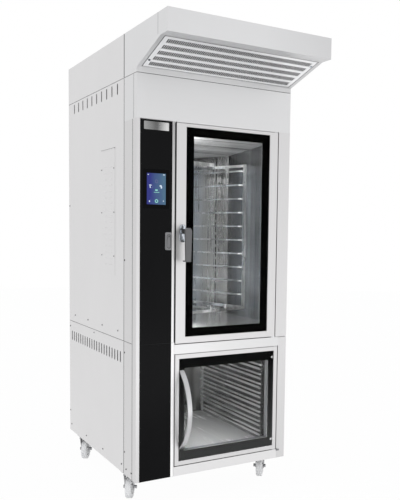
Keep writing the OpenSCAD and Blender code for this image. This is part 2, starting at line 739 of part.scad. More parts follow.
module control_tray() color([0.55, 0.57, 0.60]) in_body() {
    box(sheet, column_w - 25, 96, 96 + sheet, proofer_h + 180, bay_top - 70);
    for (i = [0 : 3]) box(30, 90, 62, 96, proofer_h + 220 + i * 110, proofer_h + 300 + i * 110);
    box(105, 175, 56, 96, proofer_h + 240, proofer_h + 430);
    box(30, 180, 84, 96, bay_top - 480, bay_top - 445);
}

// ---------------------------------------------------------------- proofer

module proofer_front_frame() color(steel) in_body() {
    jamb = [proofer_bay[0], proofer_bay[1] + sheet, 0, bay_z0];
    ring(jamb, proofer_opening, jamb_y, jamb_y + sheet);
    for (z = [[0, proofer_bay[2]], [proofer_bay[3], bay_z0]]) difference() {
        box(proofer_bay[0], proofer_bay[1], 0, jamb_y, z[0], z[1]);
        box(proofer_bay[0] - cut, proofer_bay[1] + cut, sheet, jamb_y + cut, z[0] + sheet, z[1] - sheet);
    }
}

module proofer_liner() color(inner_steel) in_body() difference() {
    box(cavity_x0 - sheet, cavity_x1 + sheet, cavity_y0 - sheet, cavity_y1 + sheet,
        cavity_z0 - sheet, cavity_z1 + sheet);
    box(cavity_x0, cavity_x1, cavity_y0, cavity_y1, cavity_z0, cavity_z1);
    plate(proofer_opening, 0, cavity_y0 + cut);
}

// Upright wires at the cavity's walls with runners bent inwards between them.
module wire_side() {
    for (y = [wire_y0, wire_y1 - 16]) box(cavity_x0, cavity_x0 + wire, y, y + 16, cavity_z0, cavity_z1);
    for (i = [0 : runner_count - 1])
        translate([0, 0, cavity_z0 + 56 + i * runner_pitch]) linear_extrude(wire) polygon([
            [cavity_x0 + wire, wire_y0], [cavity_x0 + 2 * wire + 10, wire_y0 + 12],
            [cavity_x0 + 2 * wire + 10, wire_y1 - 12], [cavity_x0 + wire, wire_y1],
            [cavity_x0 + wire, wire_y1 - wire], [cavity_x0 + wire + 10, wire_y1 - 16],
            [cavity_x0 + wire + 10, wire_y0 + 16], [cavity_x0 + wire, wire_y0 + wire]]);
}

module proofer_racks() color(chrome) in_body() {
    wire_side();
    translate([cavity_x0 + cavity_x1, 0, 0]) mirror([1, 0, 0]) wire_side();
}

module humidifier() color(inner_steel) in_body() {
    x0 = cavity_x0 + 40;
    x1 = cavity_x1 - 40;
    y0 = wire_y1 + 10;
    y1 = cavity_y1 - 10;
    difference() {
        box(x0, x1, y0, y1, cavity_z0, cavity_z0 + 50);
        box(x0 + sheet, x1 - sheet, y0 + sheet, y1 - sheet, cavity_z0 + sheet, cavity_z0 + 50 + cut);
    }
    translate([x0 + sheet, (y0 + y1) / 2, cavity_z0 + 20]) rotate([0, 90, 0])
        cylinder(r = heater_r, h = x1 - x0 - 2 * sheet, $fn = 24);
}

// ---------------------------------------------------------------- doors

// A folded door frame, open towards the panes, with lugs for the hinge pins.
module door_frame(door, pane, back_margin, hinge_x) difference() {
    union() {
        difference() {
            plate(door, 0, door_t);
            plate(inset(door, sheet), sheet, door_t - sheet);
            plate(pane, -cut, sheet + cut);
            plate(inset(pane, back_margin), door_t - sheet - cut, door_t + cut);
        }
        for (z = [door[2] + cut, door[3] - pin_l - 8])
            box(hinge_x - hinge_inset, door[1] - cut, cut, lug, z, z + pin_l + 7);
    }
    for (z = [[door[2] - cut, door[2] + pin_l + cut], [door[3] - pin_l - cut, door[3] + cut]])
        bar_z(hinge_pin_r + run_gap, hinge_x, hinge_inset, z[0], z[1]);
}

// Outer pane flush with the door's front, and inner pane against its back flange.
module door_panes(pane) {
    plate(inset(pane, pane_gap), 0, pane_t);
    plate(inset(pane, 4), door_t - sheet - inner_pane_t, door_t - sheet);
}

// Black frame between the panes, which shows as the glass's dark border. Its inner wall stands back
// from the window's edge by the reveal.
oven_reveal = 20;
module door_spacer(pane, window, reveal) {
    back = door_t - sheet - inner_pane_t;
    wall = inset(window, -reveal);
    ring(inset(pane, 1), window, pane_t, pane_t + sheet);
    ring(inset(wall, -sheet), wall, pane_t + sheet, back);
    ring(inset(pane, 1), inset(pane, 1 + sheet), pane_t + sheet, back);
}

module oven_door_frame() color(steel) in_body() difference() {
    door_frame(oven_door, oven_pane, 24, oven_hinge_x);
    bar_y(spindle_r + 1, spindle_x(), spindle_z(), -cut, sheet + cut);
}
module oven_door_glass() color(clear) in_body() door_panes(oven_pane);
module oven_door_spacer() color(black) in_body() door_spacer(oven_pane, oven_window, oven_reveal);
module proofer_door_frame() color(steel) in_body()
    door_frame(proofer_door, proofer_pane, 30, proofer_hinge_x);
module proofer_door_glass() color(clear) in_body() door_panes(proofer_pane);
module proofer_door_spacer() color(black) in_body() door_spacer(proofer_pane, proofer_window, 0);

// Plates above and below each door with the pins that it turns on.
module hinge_pair(bay, door, hinge_x) {
    for (z = [bay[2], bay[3] - hinge_t])
        box(hinge_x - 14, bay[1] - seam, seam, jamb_y, z, z + hinge_t);
    bar_z(hinge_pin_r, hinge_x, hinge_inset, bay[2] + hinge_t, door[2] + pin_l);
    bar_z(hinge_pin_r, hinge_x, hinge_inset, door[3] - pin_l, bay[3] - hinge_t);
}

module door_hinges() color(chrome) in_body() {
    hinge_pair(oven_bay, oven_door, oven_hinge_x);
    hinge_pair(proofer_bay, proofer_door, proofer_hinge_x);
}

function spindle_x() = oven_door[0] + 36;
function spindle_z() = oven_door[2] + spindle_h;

// Oval chrome plate with a raised collar round the spindle.
module door_escutcheon() color(chrome) in_body()
    translate([spindle_x(), 0, spindle_z() - 10]) rotate([90, 0, 0]) difference() {
        union() {
            translate([-plate_w / 2, -plate_h / 2]) linear_extrude(plate_t)
                rounded(plate_w, plate_h, plate_w / 2 - 0.1);
            translate([0, 10, 0]) cylinder(r = spindle_r + 5, h = plate_t + 6, $fn = round_fn);
        }
        translate([0, 10, -cut]) cylinder(r = spindle_r + run_gap, h = plate_t + 8, $fn = round_fn);
    }

// Lever: a black spindle, and a blade that hangs from it and hooks back at its lower end.
module door_lever() color([0.45, 0.45, 0.46]) in_body() translate([spindle_x(), 0, spindle_z()]) {
    rotate([90, 0, 0]) translate([0, 0, -12]) cylinder(r = spindle_r, h = lever_off + 12, $fn = round_fn);
    difference() {
        union() {
            translate([0, -lever_off, 0]) rotate([90, 0, 0]) linear_extrude(lever_t) {
                circle(lever_w / 2, $fn = round_fn);
                polygon([[-lever_w / 2, 0], [lever_w / 2, 0], [lever_w / 2 - 4, -lever_l + 22],
                         [-lever_w / 2 + 4, -lever_l + 22]]);
            }
            translate([-lever_w / 2 + 4, -lever_off - lever_t, -lever_l + 16])
                cube([lever_w - 8, lever_t + 26, 7]);
        }
    }
}

// Bow handle: a flat bar bent to one arc, on two feet.
bow_r = (pow(bow_l / 2, 2) + pow(bow_rise, 2)) / (2 * bow_rise);
module proofer_handle() color(chrome) in_body()
    translate([proofer_pane[0] + 3, 0, (proofer_door[2] + proofer_door[3]) / 2]) {
        intersection() {
            rotate([90, 0, 90]) linear_extrude(bow_w) translate([bow_r - bow_rise, 0]) difference() {
                circle(bow_r, $fn = 180);
                circle(bow_r - bow_t, $fn = 180);
            }
            translate([-cut, -bow_rise - cut, -bow_l / 2 - 10])
                cube([bow_w + 2 * cut, bow_rise + cut, bow_l + 20]);
        }
    }

// ---------------------------------------------------------------- hood

// Rear box with a sleeve that the canopy slides over and two bars that stand on the roof.
sleeve_l = 18;
module hood_rear_box() color(steel) in_body() {
    difference() {
        box(0, body_w, rear_y0, body_d, hood_z0, hood_z1);
        box(sheet, body_w - sheet, rear_y0 - cut, body_d - sheet, hood_z0 - cut, hood_z1 - sheet);
        bar_z(collar_r - sheet, body_w / 2, blower_y, hood_z1 - 10, hood_z1 + cut);
    }
    difference() {
        box(sheet, body_w - sheet, front_d - sleeve_l, rear_y0 + 6, hood_z0 + sheet, hood_z1 - sheet);
        box(2 * sheet, body_w - 2 * sheet, 0, body_d, hood_z0, hood_z1 - 2 * sheet);
    }
    for (x = [sheet, body_w - sheet - fold]) difference() {
        box(x, x + fold, rear_y0 + 6, body_d - sheet, body_h, body_h + fold);
        box(x + sheet, x + fold - sheet, 0, body_d + cut, body_h + sheet, body_h + fold - sheet);
    }
}

// Side profile of the canopy, moved inwards by s, as [depth, height] points.
function canopy_profile(s) = let (rise = s / cos(slope_a), grade = tan(slope_a)) [
    [front_d, hood_z0 + s], [s, hood_z0 + s], [s, sill_z - s * grade + rise],
    [-(slope_z + s - rise) / grade, lip_z0 + s], [-hood_reach + s, lip_z0 + s],
    [-hood_reach + s, hood_z1 - s], [front_d, hood_z1 - s]];

module side_extrude(x0, x1) translate([x0, 0, 0]) rotate([90, 0, 90]) linear_extrude(x1 - x0) children();

// Frame on the hood's slanted underside: x across, y up the slope, z outwards.
module on_slope() translate([0, 0, sill_z]) rotate([180 - slope_a, 0, 0]) children();

seat_z = 10;
seat_gap = 0.2;
module hood_canopy() color(steel) in_body() {
    difference() {
        side_extrude(0, body_w) polygon(canopy_profile(0));
        side_extrude(sheet, body_w - sheet) polygon(canopy_profile(sheet));
        box(sheet, body_w - sheet, front_d - cut, front_d + cut, hood_z0 + sheet, hood_z1 - sheet);
        on_slope() box(grille_x0, body_w - grille_x0, grille_s0, grille_s1, -2 * sheet, cut);
    }
    on_slope() difference() {
        box(grille_x0 - sheet, body_w - grille_x0 + sheet, grille_s0 - sheet, grille_s1 + sheet,
            -seat_z - seat_gap - sheet, -sheet / 2);
        box(grille_x0, body_w - grille_x0, grille_s0, grille_s1, -seat_z - seat_gap, cut);
        box(grille_x0 + 14, body_w - grille_x0 - 14, grille_s0 + 14, grille_s1 - 14, -100, cut);
    }
}

// Removable grille: rows of narrow slots in a pan with folded edges.
module hood_filter() color([0.80, 0.80, 0.81]) in_body() on_slope() {
    w = body_w - 2 * grille_x0 - 2 * grille_gap;
    h = grille_s1 - grille_s0 - 2 * grille_gap;
    row_l = (slot_count - 1) * slot_pitch + slot_w;
    translate([grille_x0 + grille_gap, grille_s0 + grille_gap, -sheet]) {
        linear_extrude(sheet) difference() {
            square([w, h]);
            for (r = [0 : slot_rows - 1], i = [0 : slot_count - 1])
                translate([(w - row_l) / 2 + i * slot_pitch,
                           first_row - grille_s0 - slot_l / 2 + r * row_pitch]) square([slot_w, slot_l]);
        }
        for (x = [0, w - sheet]) translate([x, 0, -seat_z + sheet]) cube([sheet, h, seat_z - sheet]);
        for (y = [0, h - sheet]) translate([sheet, y, -seat_z + sheet])
            cube([w - 2 * sheet, sheet, seat_z - sheet]);
    }
}

module exhaust_collar() color(steel) in_body() difference() {
    union() {
        bar_z(collar_r + 24, body_w / 2, blower_y, hood_z1, hood_z1 + 3);
        bar_z(collar_r, body_w / 2, blower_y, hood_z1, hood_z1 + collar_h);
    }
    bar_z(collar_r - sheet, body_w / 2, blower_y, hood_z1 - cut, hood_z1 + collar_h + cut);
}

// Duct fan under the collar: its tube, three arms and the motor in their middle.
blower_h = 150;
blower_shaft_r = 6;
module in_duct() in_body() translate([body_w / 2, blower_y, hood_z1 - sheet - blower_h]) children();

module blower_housing() color([0.45, 0.47, 0.50]) in_duct() {
    difference() {
        union() {
            cylinder(r = collar_r - 4, h = blower_h, $fn = 96);
            translate([0, 0, blower_h - 4]) cylinder(r = collar_r + 14, h = 4, $fn = 96);
        }
        translate([0, 0, -cut]) cylinder(r = collar_r - 6, h = blower_h + 2 * cut, $fn = 96);
    }
    difference() {
        union() {
            translate([0, 0, 70]) cylinder(r = 38, h = 70, $fn = round_fn);
            for (a = [30, 150, 270]) rotate([0, 0, a]) translate([30, -2, 96]) cube([collar_r - 35.5, 4, 30]);
        }
        translate([0, 0, 60]) cylinder(r = blower_shaft_r + run_gap, h = 60, $fn = round_fn);
    }
}

module blower_wheel() color([0.20, 0.21, 0.23]) in_duct() {
        translate([0, 0, 18]) cylinder(r = 30, h = 36, $fn = round_fn);
        translate([0, 0, 20]) cylinder(r = blower_shaft_r, h = 90, $fn = round_fn);
        for (i = [0 : 6]) rotate([0, 0, i * 360 / 7]) translate([24, 0, 36]) rotate([35, 0, 0])
            translate([0, -16, -1.5]) cube([collar_r - 40, 32, 3]);
    }

// ---------------------------------------------------------------- rack

module in_rack() in_body() translate([rack_x, rack_y, 0]) rotate([0, 0, rack_rest]) children();

// Drive shaft and the crossbar that it carries.
module rack_drive() color(inner_steel) in_rack() {
    bar_z(shaft_r, 0, 0, rack_top, gear_z + 70);
    bar_z(34, 0, 0, rack_top, rack_top + 10);
    difference() {
        box(-rack_half_w, rack_half_w, -32, 32, rack_top - 22, rack_top);
        box(-rack_half_w - cut, rack_half_w + cut, -29, 29, rack_top - 23, rack_top - 3);
    }
}

module rack_side() {
    x0 = rack_half_w - tube;
    post_top = rack_top - 22;
    for (s = [-1, 1]) translate([0, s * (rack_half_l - tube / 2), 0])
        box(x0, rack_half_w, -tube / 2, tube / 2, base_z1, post_top);
    box(x0, rack_half_w, -rack_half_l + tube, rack_half_l - tube, post_top - tube, post_top);
    for (i = [0 : tiers - 1])
        translate([0, 0, base_z1 + first_tier + i * tier_pitch]) linear_extrude(runner_h) runner_plan(x0);
}

// A runner in plan: it leaves one post, bends inwards, runs along the tray and bends back.
module runner_plan(x0) {
    y1 = rack_half_l - tube;
    y2 = y1 - runner_bend;
    outer = x0 + 4 + runner_w;
    inner = x0 - runner_in;
    polygon([[x0 + 4, y1], [outer, y1], [outer, y1 - 4], [inner + runner_w, y2], [inner + runner_w, -y2],
             [outer, -y1 + 4], [outer, -y1], [x0 + 4, -y1], [inner, -y2 - 3], [inner, y2 + 3]]);
}

module rack_right_side() color(chrome) in_rack() rack_side();
module rack_left_side() color(chrome) in_rack() mirror([1, 0, 0]) rack_side();

// Base: a tube frame, a broad channel across its middle and the pin that it turns on.
module rack_base() color(chrome) in_rack() {
    difference() {
        box(-rack_half_w, rack_half_w, -rack_half_l, rack_half_l, base_z0, base_z1);
        box(-rack_half_w + tube, rack_half_w - tube, -rack_half_l + tube, rack_half_l - tube,
            base_z0 - cut, base_z1 + cut);
    }
    box(-40, 40, -rack_half_l + tube, rack_half_l - tube, base_z0, base_z0 + 10);
    bar_z(pivot_r, 0, 0, chamber_z0 + 4 + rest_gap, base_z0);
    bar_z(24, 0, 0, chamber_z0 + floor_boss_h + 2, base_z0);
    for (x = [-60, 60]) bar_z(6, x, -rack_half_l + tube / 2, base_z1, base_z1 + 20);
}

// ---------------------------------------------------------------- fittings and screws

// Pipe stubs and a cable gland, each through the back panel with a locknut outside it.
nut_t = 8;
fitting_bore = [17, 8, 9];
module service_fittings() color([0.70, 0.68, 0.60]) in_body() for (i = [0 : 2]) difference() {
    union() {
        bar_y(fitting_r[i], fitting_x[i], fitting_z[i], back_y - 12, body_d + rear_reach - 3 * i);
        translate([fitting_x[i], body_d, fitting_z[i]]) rotate([-90, 0, 0])
            cylinder(r = fitting_r[i] + 8, h = nut_t, $fn = 6);
    }
    bar_y(fitting_bore[i], fitting_x[i], fitting_z[i], back_y - 14, body_d + rear_reach + cut);
}

screw_r = 5;
module side_screw(y, z) translate([0, y, z]) rotate([0, -90, 0])
    cylinder(r1 = screw_r, r2 = screw_r - 2, h = cover_proud, $fn = 24);

module side_screws() {
    for (i = [0 : 3]) {
        side_screw(rear_y0 + 87 + i * (back_y - rear_y0 - 203) / 3, proofer_h + 44);
        side_screw(rear_y0 + 32 + i * (back_y - rear_y0 - 66) / 3, 43);
    }
    side_screw(back_y - 12, bay_top - 410);
    side_screw(back_y - 12, proofer_h - 36);
    side_screw(back_y - 12, 131);
    for (y = [front_d - 34, trim_d + 12]) side_screw(y, 34);
    for (z = [121, proofer_h - 60, proofer_h + 428]) side_screw(front_d - 8, z);
}

module cover_screws() {
    for (y = [cover_y0 + 14, cover_y0 + cover_w - 4], z = [0.155, 0.50, 0.845])
        translate([-cover_t, y, cover_z0 + z * cover_h]) rotate([0, -90, 0])
            cylinder(r = screw_r - 1.5, h = cover_proud - cover_t, $fn = 24);
}

module screws() color([0.55, 0.55, 0.56]) in_body() {
    side_screws();
    cover_screws();
    other_side() side_screws();
}

carcass();
caster_plates();
proofer_left_panel();
proofer_right_panel();
back_panel();
proofer_front_frame();
proofer_liner();
proofer_racks();
humidifier();
oven_left_panel();
access_cover();
oven_right_panel();
roof_panel();
top_fascia();
left_column();
right_column();
column_glass();
screen_bezel();
touch_screen();
door_keeper();
oven_front_frame();
chamber_liner();
insulation();
air_duct_panel();
fan_motor();
heating_elements();
chamber_gasket();
rack_gearmotor();
control_tray();
screws();
door_hinges();
hood_rear_box();
hood_canopy();
hood_filter();
exhaust_collar();
blower_housing();
service_fittings();
fan_wheel();
blower_wheel();
rack_drive();
rack_left_side();
rack_right_side();
rack_base();
oven_door_frame();
oven_door_glass();
oven_door_spacer();
door_escutcheon();
door_lever();
proofer_door_frame();
proofer_door_glass();
proofer_door_spacer();
proofer_handle();
fork_front_left();
fork_front_right();
fork_rear_left();
fork_rear_right();
wheel_front_left();
wheel_front_right();
wheel_rear_left();
wheel_rear_right();
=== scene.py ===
"""Studio scene of a rotating rack oven on a proofing cabinet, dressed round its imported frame."""

from __future__ import annotations

import logging
import math
from dataclasses import dataclass, field
from enum import Enum
from typing import Callable, Iterable, Sequence

import bmesh
import bpy
from mathutils import Matrix, Vector


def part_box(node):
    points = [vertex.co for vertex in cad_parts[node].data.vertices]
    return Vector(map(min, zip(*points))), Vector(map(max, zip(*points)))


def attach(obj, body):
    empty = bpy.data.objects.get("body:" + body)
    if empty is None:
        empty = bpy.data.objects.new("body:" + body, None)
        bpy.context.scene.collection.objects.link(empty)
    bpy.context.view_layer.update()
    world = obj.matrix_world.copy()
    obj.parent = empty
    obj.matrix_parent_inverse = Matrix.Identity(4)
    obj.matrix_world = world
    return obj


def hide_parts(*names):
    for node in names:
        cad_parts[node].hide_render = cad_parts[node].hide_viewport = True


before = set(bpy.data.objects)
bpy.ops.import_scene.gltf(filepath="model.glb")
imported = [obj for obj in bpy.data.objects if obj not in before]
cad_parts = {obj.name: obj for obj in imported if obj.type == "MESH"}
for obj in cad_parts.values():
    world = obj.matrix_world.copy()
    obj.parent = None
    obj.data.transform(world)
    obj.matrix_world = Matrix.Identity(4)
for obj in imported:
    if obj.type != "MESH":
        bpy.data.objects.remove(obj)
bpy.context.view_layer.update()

logging.basicConfig(level=logging.INFO, format="%(name)s: %(message)s")
LOG = logging.getLogger("rack_oven")

Vec = tuple[float, float, float]
Colour = tuple[float, float, float]
Span = tuple[float, float]
Outline = Sequence[Span]
Row = tuple[float, float, float, float, float]
Socket = bpy.types.NodeSocket
Node = bpy.types.Node
Tree = bpy.types.NodeTree
Finish = bpy.types.Material
Piece = bpy.types.Object
Mesh = bmesh.types.BMesh

MM = 0.001  # metres in a millimetre
WIDTH = 920.0  # width of the body in millimetres
SHARP = math.radians(35.0)  # edges that bend more than this stay sharp
WELD = 1e-6  # points nearer than this become one, in metres
FILM = 0.0003  # height of rims and signs that lie on a surface, in metres
HOLE_STEPS = 24  # segments round a hole


# ---------------------------------------------------------------- choices


class Grain(Enum):
    """Direction in which a sheet was brushed, as the stretch of its streaks along X, Y and Z."""

    ALONG_X = (0.012, 1.0, 1.0)
    ALONG_Y = (1.0, 0.012, 1.0)
    ALONG_Z = (1.0, 1.0, 0.012)


class Facing(Enum):
    """Way that a fastener or a plate faces, as the turn from +Z about X and Y in degrees."""

    FRONT = (90.0, 0.0)
    LEFT = (0.0, -90.0)
    RIGHT = (0.0, 90.0)

    def matrix(self) -> Matrix:
        """Returns the rotation that turns +Z to this way."""
        turn_x, turn_y = self.value
        return Matrix.Rotation(math.radians(turn_y), 4, "Y") @ Matrix.Rotation(math.radians(turn_x), 4, "X")


# ---------------------------------------------------------------- shader groups


class ShaderNodes:
    """Thin helper that places nodes and links in one node tree."""

    def __init__(self, tree: Tree) -> None:
        """Keeps the tree.

        Args:
            tree: Node tree of a material, a world or a group.
        """
        self.tree = tree

    def add(self, kind: str, **values: object) -> Node:
        """Adds a node and sets its properties and inputs.

        Args:
            kind: Blender's name of the node type.
            values: Property values, or input values for names that are inputs (spaces as underscores).

        Returns:
            The new node.
        """
        node = self.tree.nodes.new(kind)
        for key, value in values.items():
            if hasattr(node, key):
                setattr(node, key, value)
            else:
                node.inputs[key.replace("_", " ")].default_value = value
        return node

    def link(self, start: Socket, end: Socket) -> None:
        """Links an output to an input."""
        self.tree.links.new(start, end)

    def math(self, operation: str, a: object, b: object = 0.0) -> Socket:
        """Adds a Math node.

        Args:
            operation: Name of the operation.
            a: First value or socket.
            b: Second value or socket.

        Returns:
            The node's output socket.
        """
        node = self.add("ShaderNodeMath", operation=operation)
        for index, value in enumerate((a, b)):
            if isinstance(value, Socket):
                self.link(value, node.inputs[index])
            else:
                node.inputs[index].default_value = value
        return node.outputs[0]

    def spread(self, value: Socket, low: float, high: float) -> Socket:
        """Adds a clamped Map Range node that runs from 0 to 1.

        Args:
            value: Socket to map.
            low: Value that becomes 0.
            high: Value that becomes 1.

        Returns:
            The node's output socket.
        """
        node = self.add("ShaderNodeMapRange", clamp=True)
        self.link(value, node.inputs["Value"])
        for name, number in (("From Min", low), ("From Max", high)):
            node.inputs[name].default_value = number
        return node.outputs["Result"]

    def blend(self, factor: Socket, first: object, second: object) -> Socket:
        """Adds a colour Mix node.

        Args:
            factor: Socket that drives the mix.
            first: Colour or socket at factor 0.
            second: Colour or socket at factor 1.

        Returns:
            The mixed colour's socket.
        """
        node = self.add("ShaderNodeMix", data_type="RGBA")
        self.link(factor, node.inputs["Factor"])
        sockets = [s for s in node.inputs if s.type == "RGBA"]
        for socket, value in zip(sockets, (first, second)):
            if isinstance(value, Socket):
                self.link(value, socket)
            else:
                socket.default_value = (*value, 1.0)
        return next(s for s in node.outputs if s.type == "RGBA")

    def mix(self, factor: Socket, first: Socket, second: Socket, end: Socket) -> None:
        """Mixes two shaders into an output node.

        Args:
            factor: Socket that drives the mix.
            first: Shader at factor 0.
            second: Shader at factor 1.
            end: Input that takes the mix.
        """
        node = self.add("ShaderNodeMixShader")
        for index, socket in enumerate((factor, first, second)):
            self.link(socket, node.inputs[index])
        self.link(node.outputs[0], end)


def new_group(name: str, inputs: Sequence[tuple[str, str, object]],
              outputs: Sequence[tuple[str, str]]) -> tuple[Tree, ShaderNodes, Node, Node]:
    """Starts a shader group with named sockets.

    Args:
        name: Name of the group.
        inputs: Name, socket type and default of each input.
        outputs: Name and socket type of each output.

    Returns:
        The group, its helper, its input node and its output node.
    """
    tree = bpy.data.node_groups.new(name, "ShaderNodeTree")
    for label, kind, value in inputs:
        socket = tree.interface.new_socket(label, in_out="INPUT", socket_type=kind)
        socket.default_value = value
    for label, kind in outputs:
        tree.interface.new_socket(label, in_out="OUTPUT", socket_type=kind)
    n = ShaderNodes(tree)
    return tree, n, n.add("NodeGroupInput"), n.add("NodeGroupOutput")


class ShaderLibrary:
    """The groups that the finishes share: brushed grain, rounded edges, clouding and fine speckle."""

    def __init__(self) -> None:
        """Builds every group once."""
        self.grain = self._grain()
        self.edges = self._edges()
        self.clouds = self._clouds()
        self.speckle = self._speckle()

    @staticmethod
    def _stretched(n: ShaderNodes, gin: Node) -> Socket:
        """Stretches the object's coordinates by a group's Stretch input.

        Args:
            n: Helper of the group.
            gin: Input node of the group.

        Returns:
            Socket of the stretched coordinates.
        """
        scaled = n.add("ShaderNodeVectorMath", operation="MULTIPLY")
        n.link(n.add("ShaderNodeTexCoord").outputs["Object"], scaled.inputs[0])
        n.link(gin.outputs["Stretch"], scaled.inputs[1])
        return scaled.outputs[0]

    @staticmethod
    def _grain() -> Tree:
        """Streaks of a brushed sheet.

        Returns:
            A group with the outputs Streak and Height.
        """
        tree, n, gin, gout = new_group("brushed_grain", [
            ("Stretch", "NodeSocketVector", (1.0, 1.0, 0.012)), ("Fineness", "NodeSocketFloat", 900.0),
            ("Contrast", "NodeSocketFloat", 0.5)], [("Streak", "NodeSocketFloat"), ("Height", "NodeSocketFloat")])
        scaled = ShaderLibrary._stretched(n, gin)
        fine = n.add("ShaderNodeTexNoise", Detail=3.0, Roughness=0.6)
        n.link(scaled, fine.inputs["Vector"])
        n.link(gin.outputs["Fineness"], fine.inputs["Scale"])
        broad = n.add("ShaderNodeTexNoise", Detail=2.0, Roughness=0.5)
        n.link(scaled, broad.inputs["Vector"])
        n.link(n.math("MULTIPLY", gin.outputs["Fineness"], 0.08), broad.inputs["Scale"])
        both = n.math("ADD", n.math("MULTIPLY", fine.outputs["Fac"], 0.55),
                      n.math("MULTIPLY", broad.outputs["Fac"], 0.45))
        centred = n.math("MULTIPLY", n.math("SUBTRACT", both, 0.5), gin.outputs["Contrast"])
        n.link(n.math("ADD", centred, 0.5), gout.inputs["Streak"])
        n.link(fine.outputs["Fac"], gout.inputs["Height"])
        return tree

    @staticmethod
    def _edges() -> Tree:
        """Rounded edges, and an edge mask that the finishes use to lighten edges, partly as wear, partly as a painted
        highlight.

        Returns:
            A group with the outputs Normal and Edge.
        """
        tree, n, gin, gout = new_group("rounded_edges_and_highlight", [("Radius", "NodeSocketFloat", 0.001)],
                                       [("Normal", "NodeSocketVector"), ("Edge", "NodeSocketFloat")])
        bevel = n.add("ShaderNodeBevel", samples=4)
        n.link(gin.outputs["Radius"], bevel.inputs["Radius"])
        geometry = n.add("ShaderNodeNewGeometry")
        dot = n.add("ShaderNodeVectorMath", operation="DOT_PRODUCT")
        n.link(bevel.outputs["Normal"], dot.inputs[0])
        n.link(geometry.outputs["Normal"], dot.inputs[1])
        n.link(n.spread(n.math("SUBTRACT", 1.0, dot.outputs["Value"]), 0.02, 0.25), gout.inputs["Edge"])
        n.link(bevel.outputs["Normal"], gout.inputs["Normal"])
        return tree

    @staticmethod
    def _clouds() -> Tree:
        """Slow clouding of a surface, such as wipe marks.

        Returns:
            A group with the output Cloud.
        """
        tree, n, gin, gout = new_group("wiped_clouds", [
            ("Size", "NodeSocketFloat", 3.0), ("Stretch", "NodeSocketVector", (1.0, 1.0, 0.4)),
            ("Contrast", "NodeSocketFloat", 1.0)], [("Cloud", "NodeSocketFloat")])
        scaled = ShaderLibrary._stretched(n, gin)
        noise = n.add("ShaderNodeTexNoise", Detail=4.0, Roughness=0.55, Distortion=0.6)
        n.link(scaled, noise.inputs["Vector"])
        n.link(gin.outputs["Size"], noise.inputs["Scale"])
        centred = n.math("MULTIPLY", n.math("SUBTRACT", noise.outputs["Fac"], 0.5), gin.outputs["Contrast"])
        n.link(n.math("ADD", centred, 0.5), gout.inputs["Cloud"])
        return tree

    @staticmethod
    def _speckle() -> Tree:
        """Fine moulded or cast grain.

        Returns:
            A group with the outputs Spot and Height.
        """
        tree, n, gin, gout = new_group("moulded_speckle", [("Size", "NodeSocketFloat", 1200.0)],
                                       [("Spot", "NodeSocketFloat"), ("Height", "NodeSocketFloat")])
        coord = n.add("ShaderNodeTexCoord")
        cells = n.add("ShaderNodeTexVoronoi")
        n.link(coord.outputs["Object"], cells.inputs["Vector"])
        n.link(gin.outputs["Size"], cells.inputs["Scale"])
        noise = n.add("ShaderNodeTexNoise", Detail=2.0)
        n.link(coord.outputs["Object"], noise.inputs["Vector"])
        n.link(n.math("MULTIPLY", gin.outputs["Size"], 0.2), noise.inputs["Scale"])
        n.link(noise.outputs["Fac"], gout.inputs["Spot"])
        n.link(cells.outputs["Distance"], gout.inputs["Height"])
        return tree


# ---------------------------------------------------------------- finishes


def shaded(colour: Colour, factor: float, lift: float = 0.0) -> Colour:
    """Returns a colour made darker or lighter, at most white."""
    return tuple(min(1.0, c * factor + lift) for c in colour)


@dataclass(frozen=True)
class Fade:
    """Change of a finish along one axis: whole at start, gone at end."""

    axis: str
    start: float
    end: float
    colour: Colour


class Material:
    """A material being built, with its Principled shader and helper."""

    def __init__(self, name: str) -> None:
        """Makes an empty material.

        Args:
            name: Name of the material.
        """
        self.data = bpy.data.materials.new(name)
        self.data.use_nodes = True
        self.data.node_tree.nodes.clear()
        self.n = ShaderNodes(self.data.node_tree)
        self.out = self.n.add("ShaderNodeOutputMaterial")
        self.shader = self.n.add("ShaderNodeBsdfPrincipled")
        self.n.link(self.shader.outputs["BSDF"], self.out.inputs["Surface"])

    def group(self, tree: Tree, **values: object) -> Node:
        """Places a shared group.

        Args:
            tree: The group.
            values: Input values by name.

        Returns:
            The group node.
        """
        node = self.n.add("ShaderNodeGroup")
        node.node_tree = tree
        for key, value in values.items():
            node.inputs[key].default_value = value
        return node

    def relief(self, height: Socket, strength: float, distance: float, normal: Socket) -> None:
        """Gives the shader a bump.

        Args:
            height: Socket with the height.
            strength: Strength of the bump.
            distance: Depth of the bump in metres.
            normal: Normal under the bump.
        """
        bump = self.n.add("ShaderNodeBump", Strength=strength, Distance=distance)
        self.n.link(height, bump.inputs["Height"])
        self.n.link(normal, bump.inputs["Normal"])
        self.n.link(bump.outputs["Normal"], self.shader.inputs["Normal"])

    def faded(self, tone: Socket, fades: Iterable[Fade]) -> Socket:
        """Lays fades over a colour.

        Args:
            tone: Socket of the colour.
            fades: The fades, the last one on top.

        Returns:
            The changed colour's socket.
        """
        place = self.n.add("ShaderNodeSeparateXYZ")
        self.n.link(self.n.add("ShaderNodeTexCoord").outputs["Object"], place.inputs["Vector"])
        for fade in fades:
            share = self.n.spread(place.outputs[fade.axis], fade.start, fade.end)
            tone = self.n.blend(share, fade.colour, tone)
        return tone

    def roughen(self, mask: Socket, share: float, base: float) -> None:
        """Lets a mask change the shader's roughness.

        Args:
            mask: Socket of the mask.
            share: Roughness that a full mask adds.
            base: Roughness without it.
        """
        self.n.link(self.n.math("ADD", self.n.math("MULTIPLY", mask, share), base), self.shader.inputs["Roughness"])

    def values(self, **values: object) -> None:
        """Sets plain values on the shader's own sockets."""
        for key, value in values.items():
            self.shader.inputs[key.replace("_", " ")].default_value = value


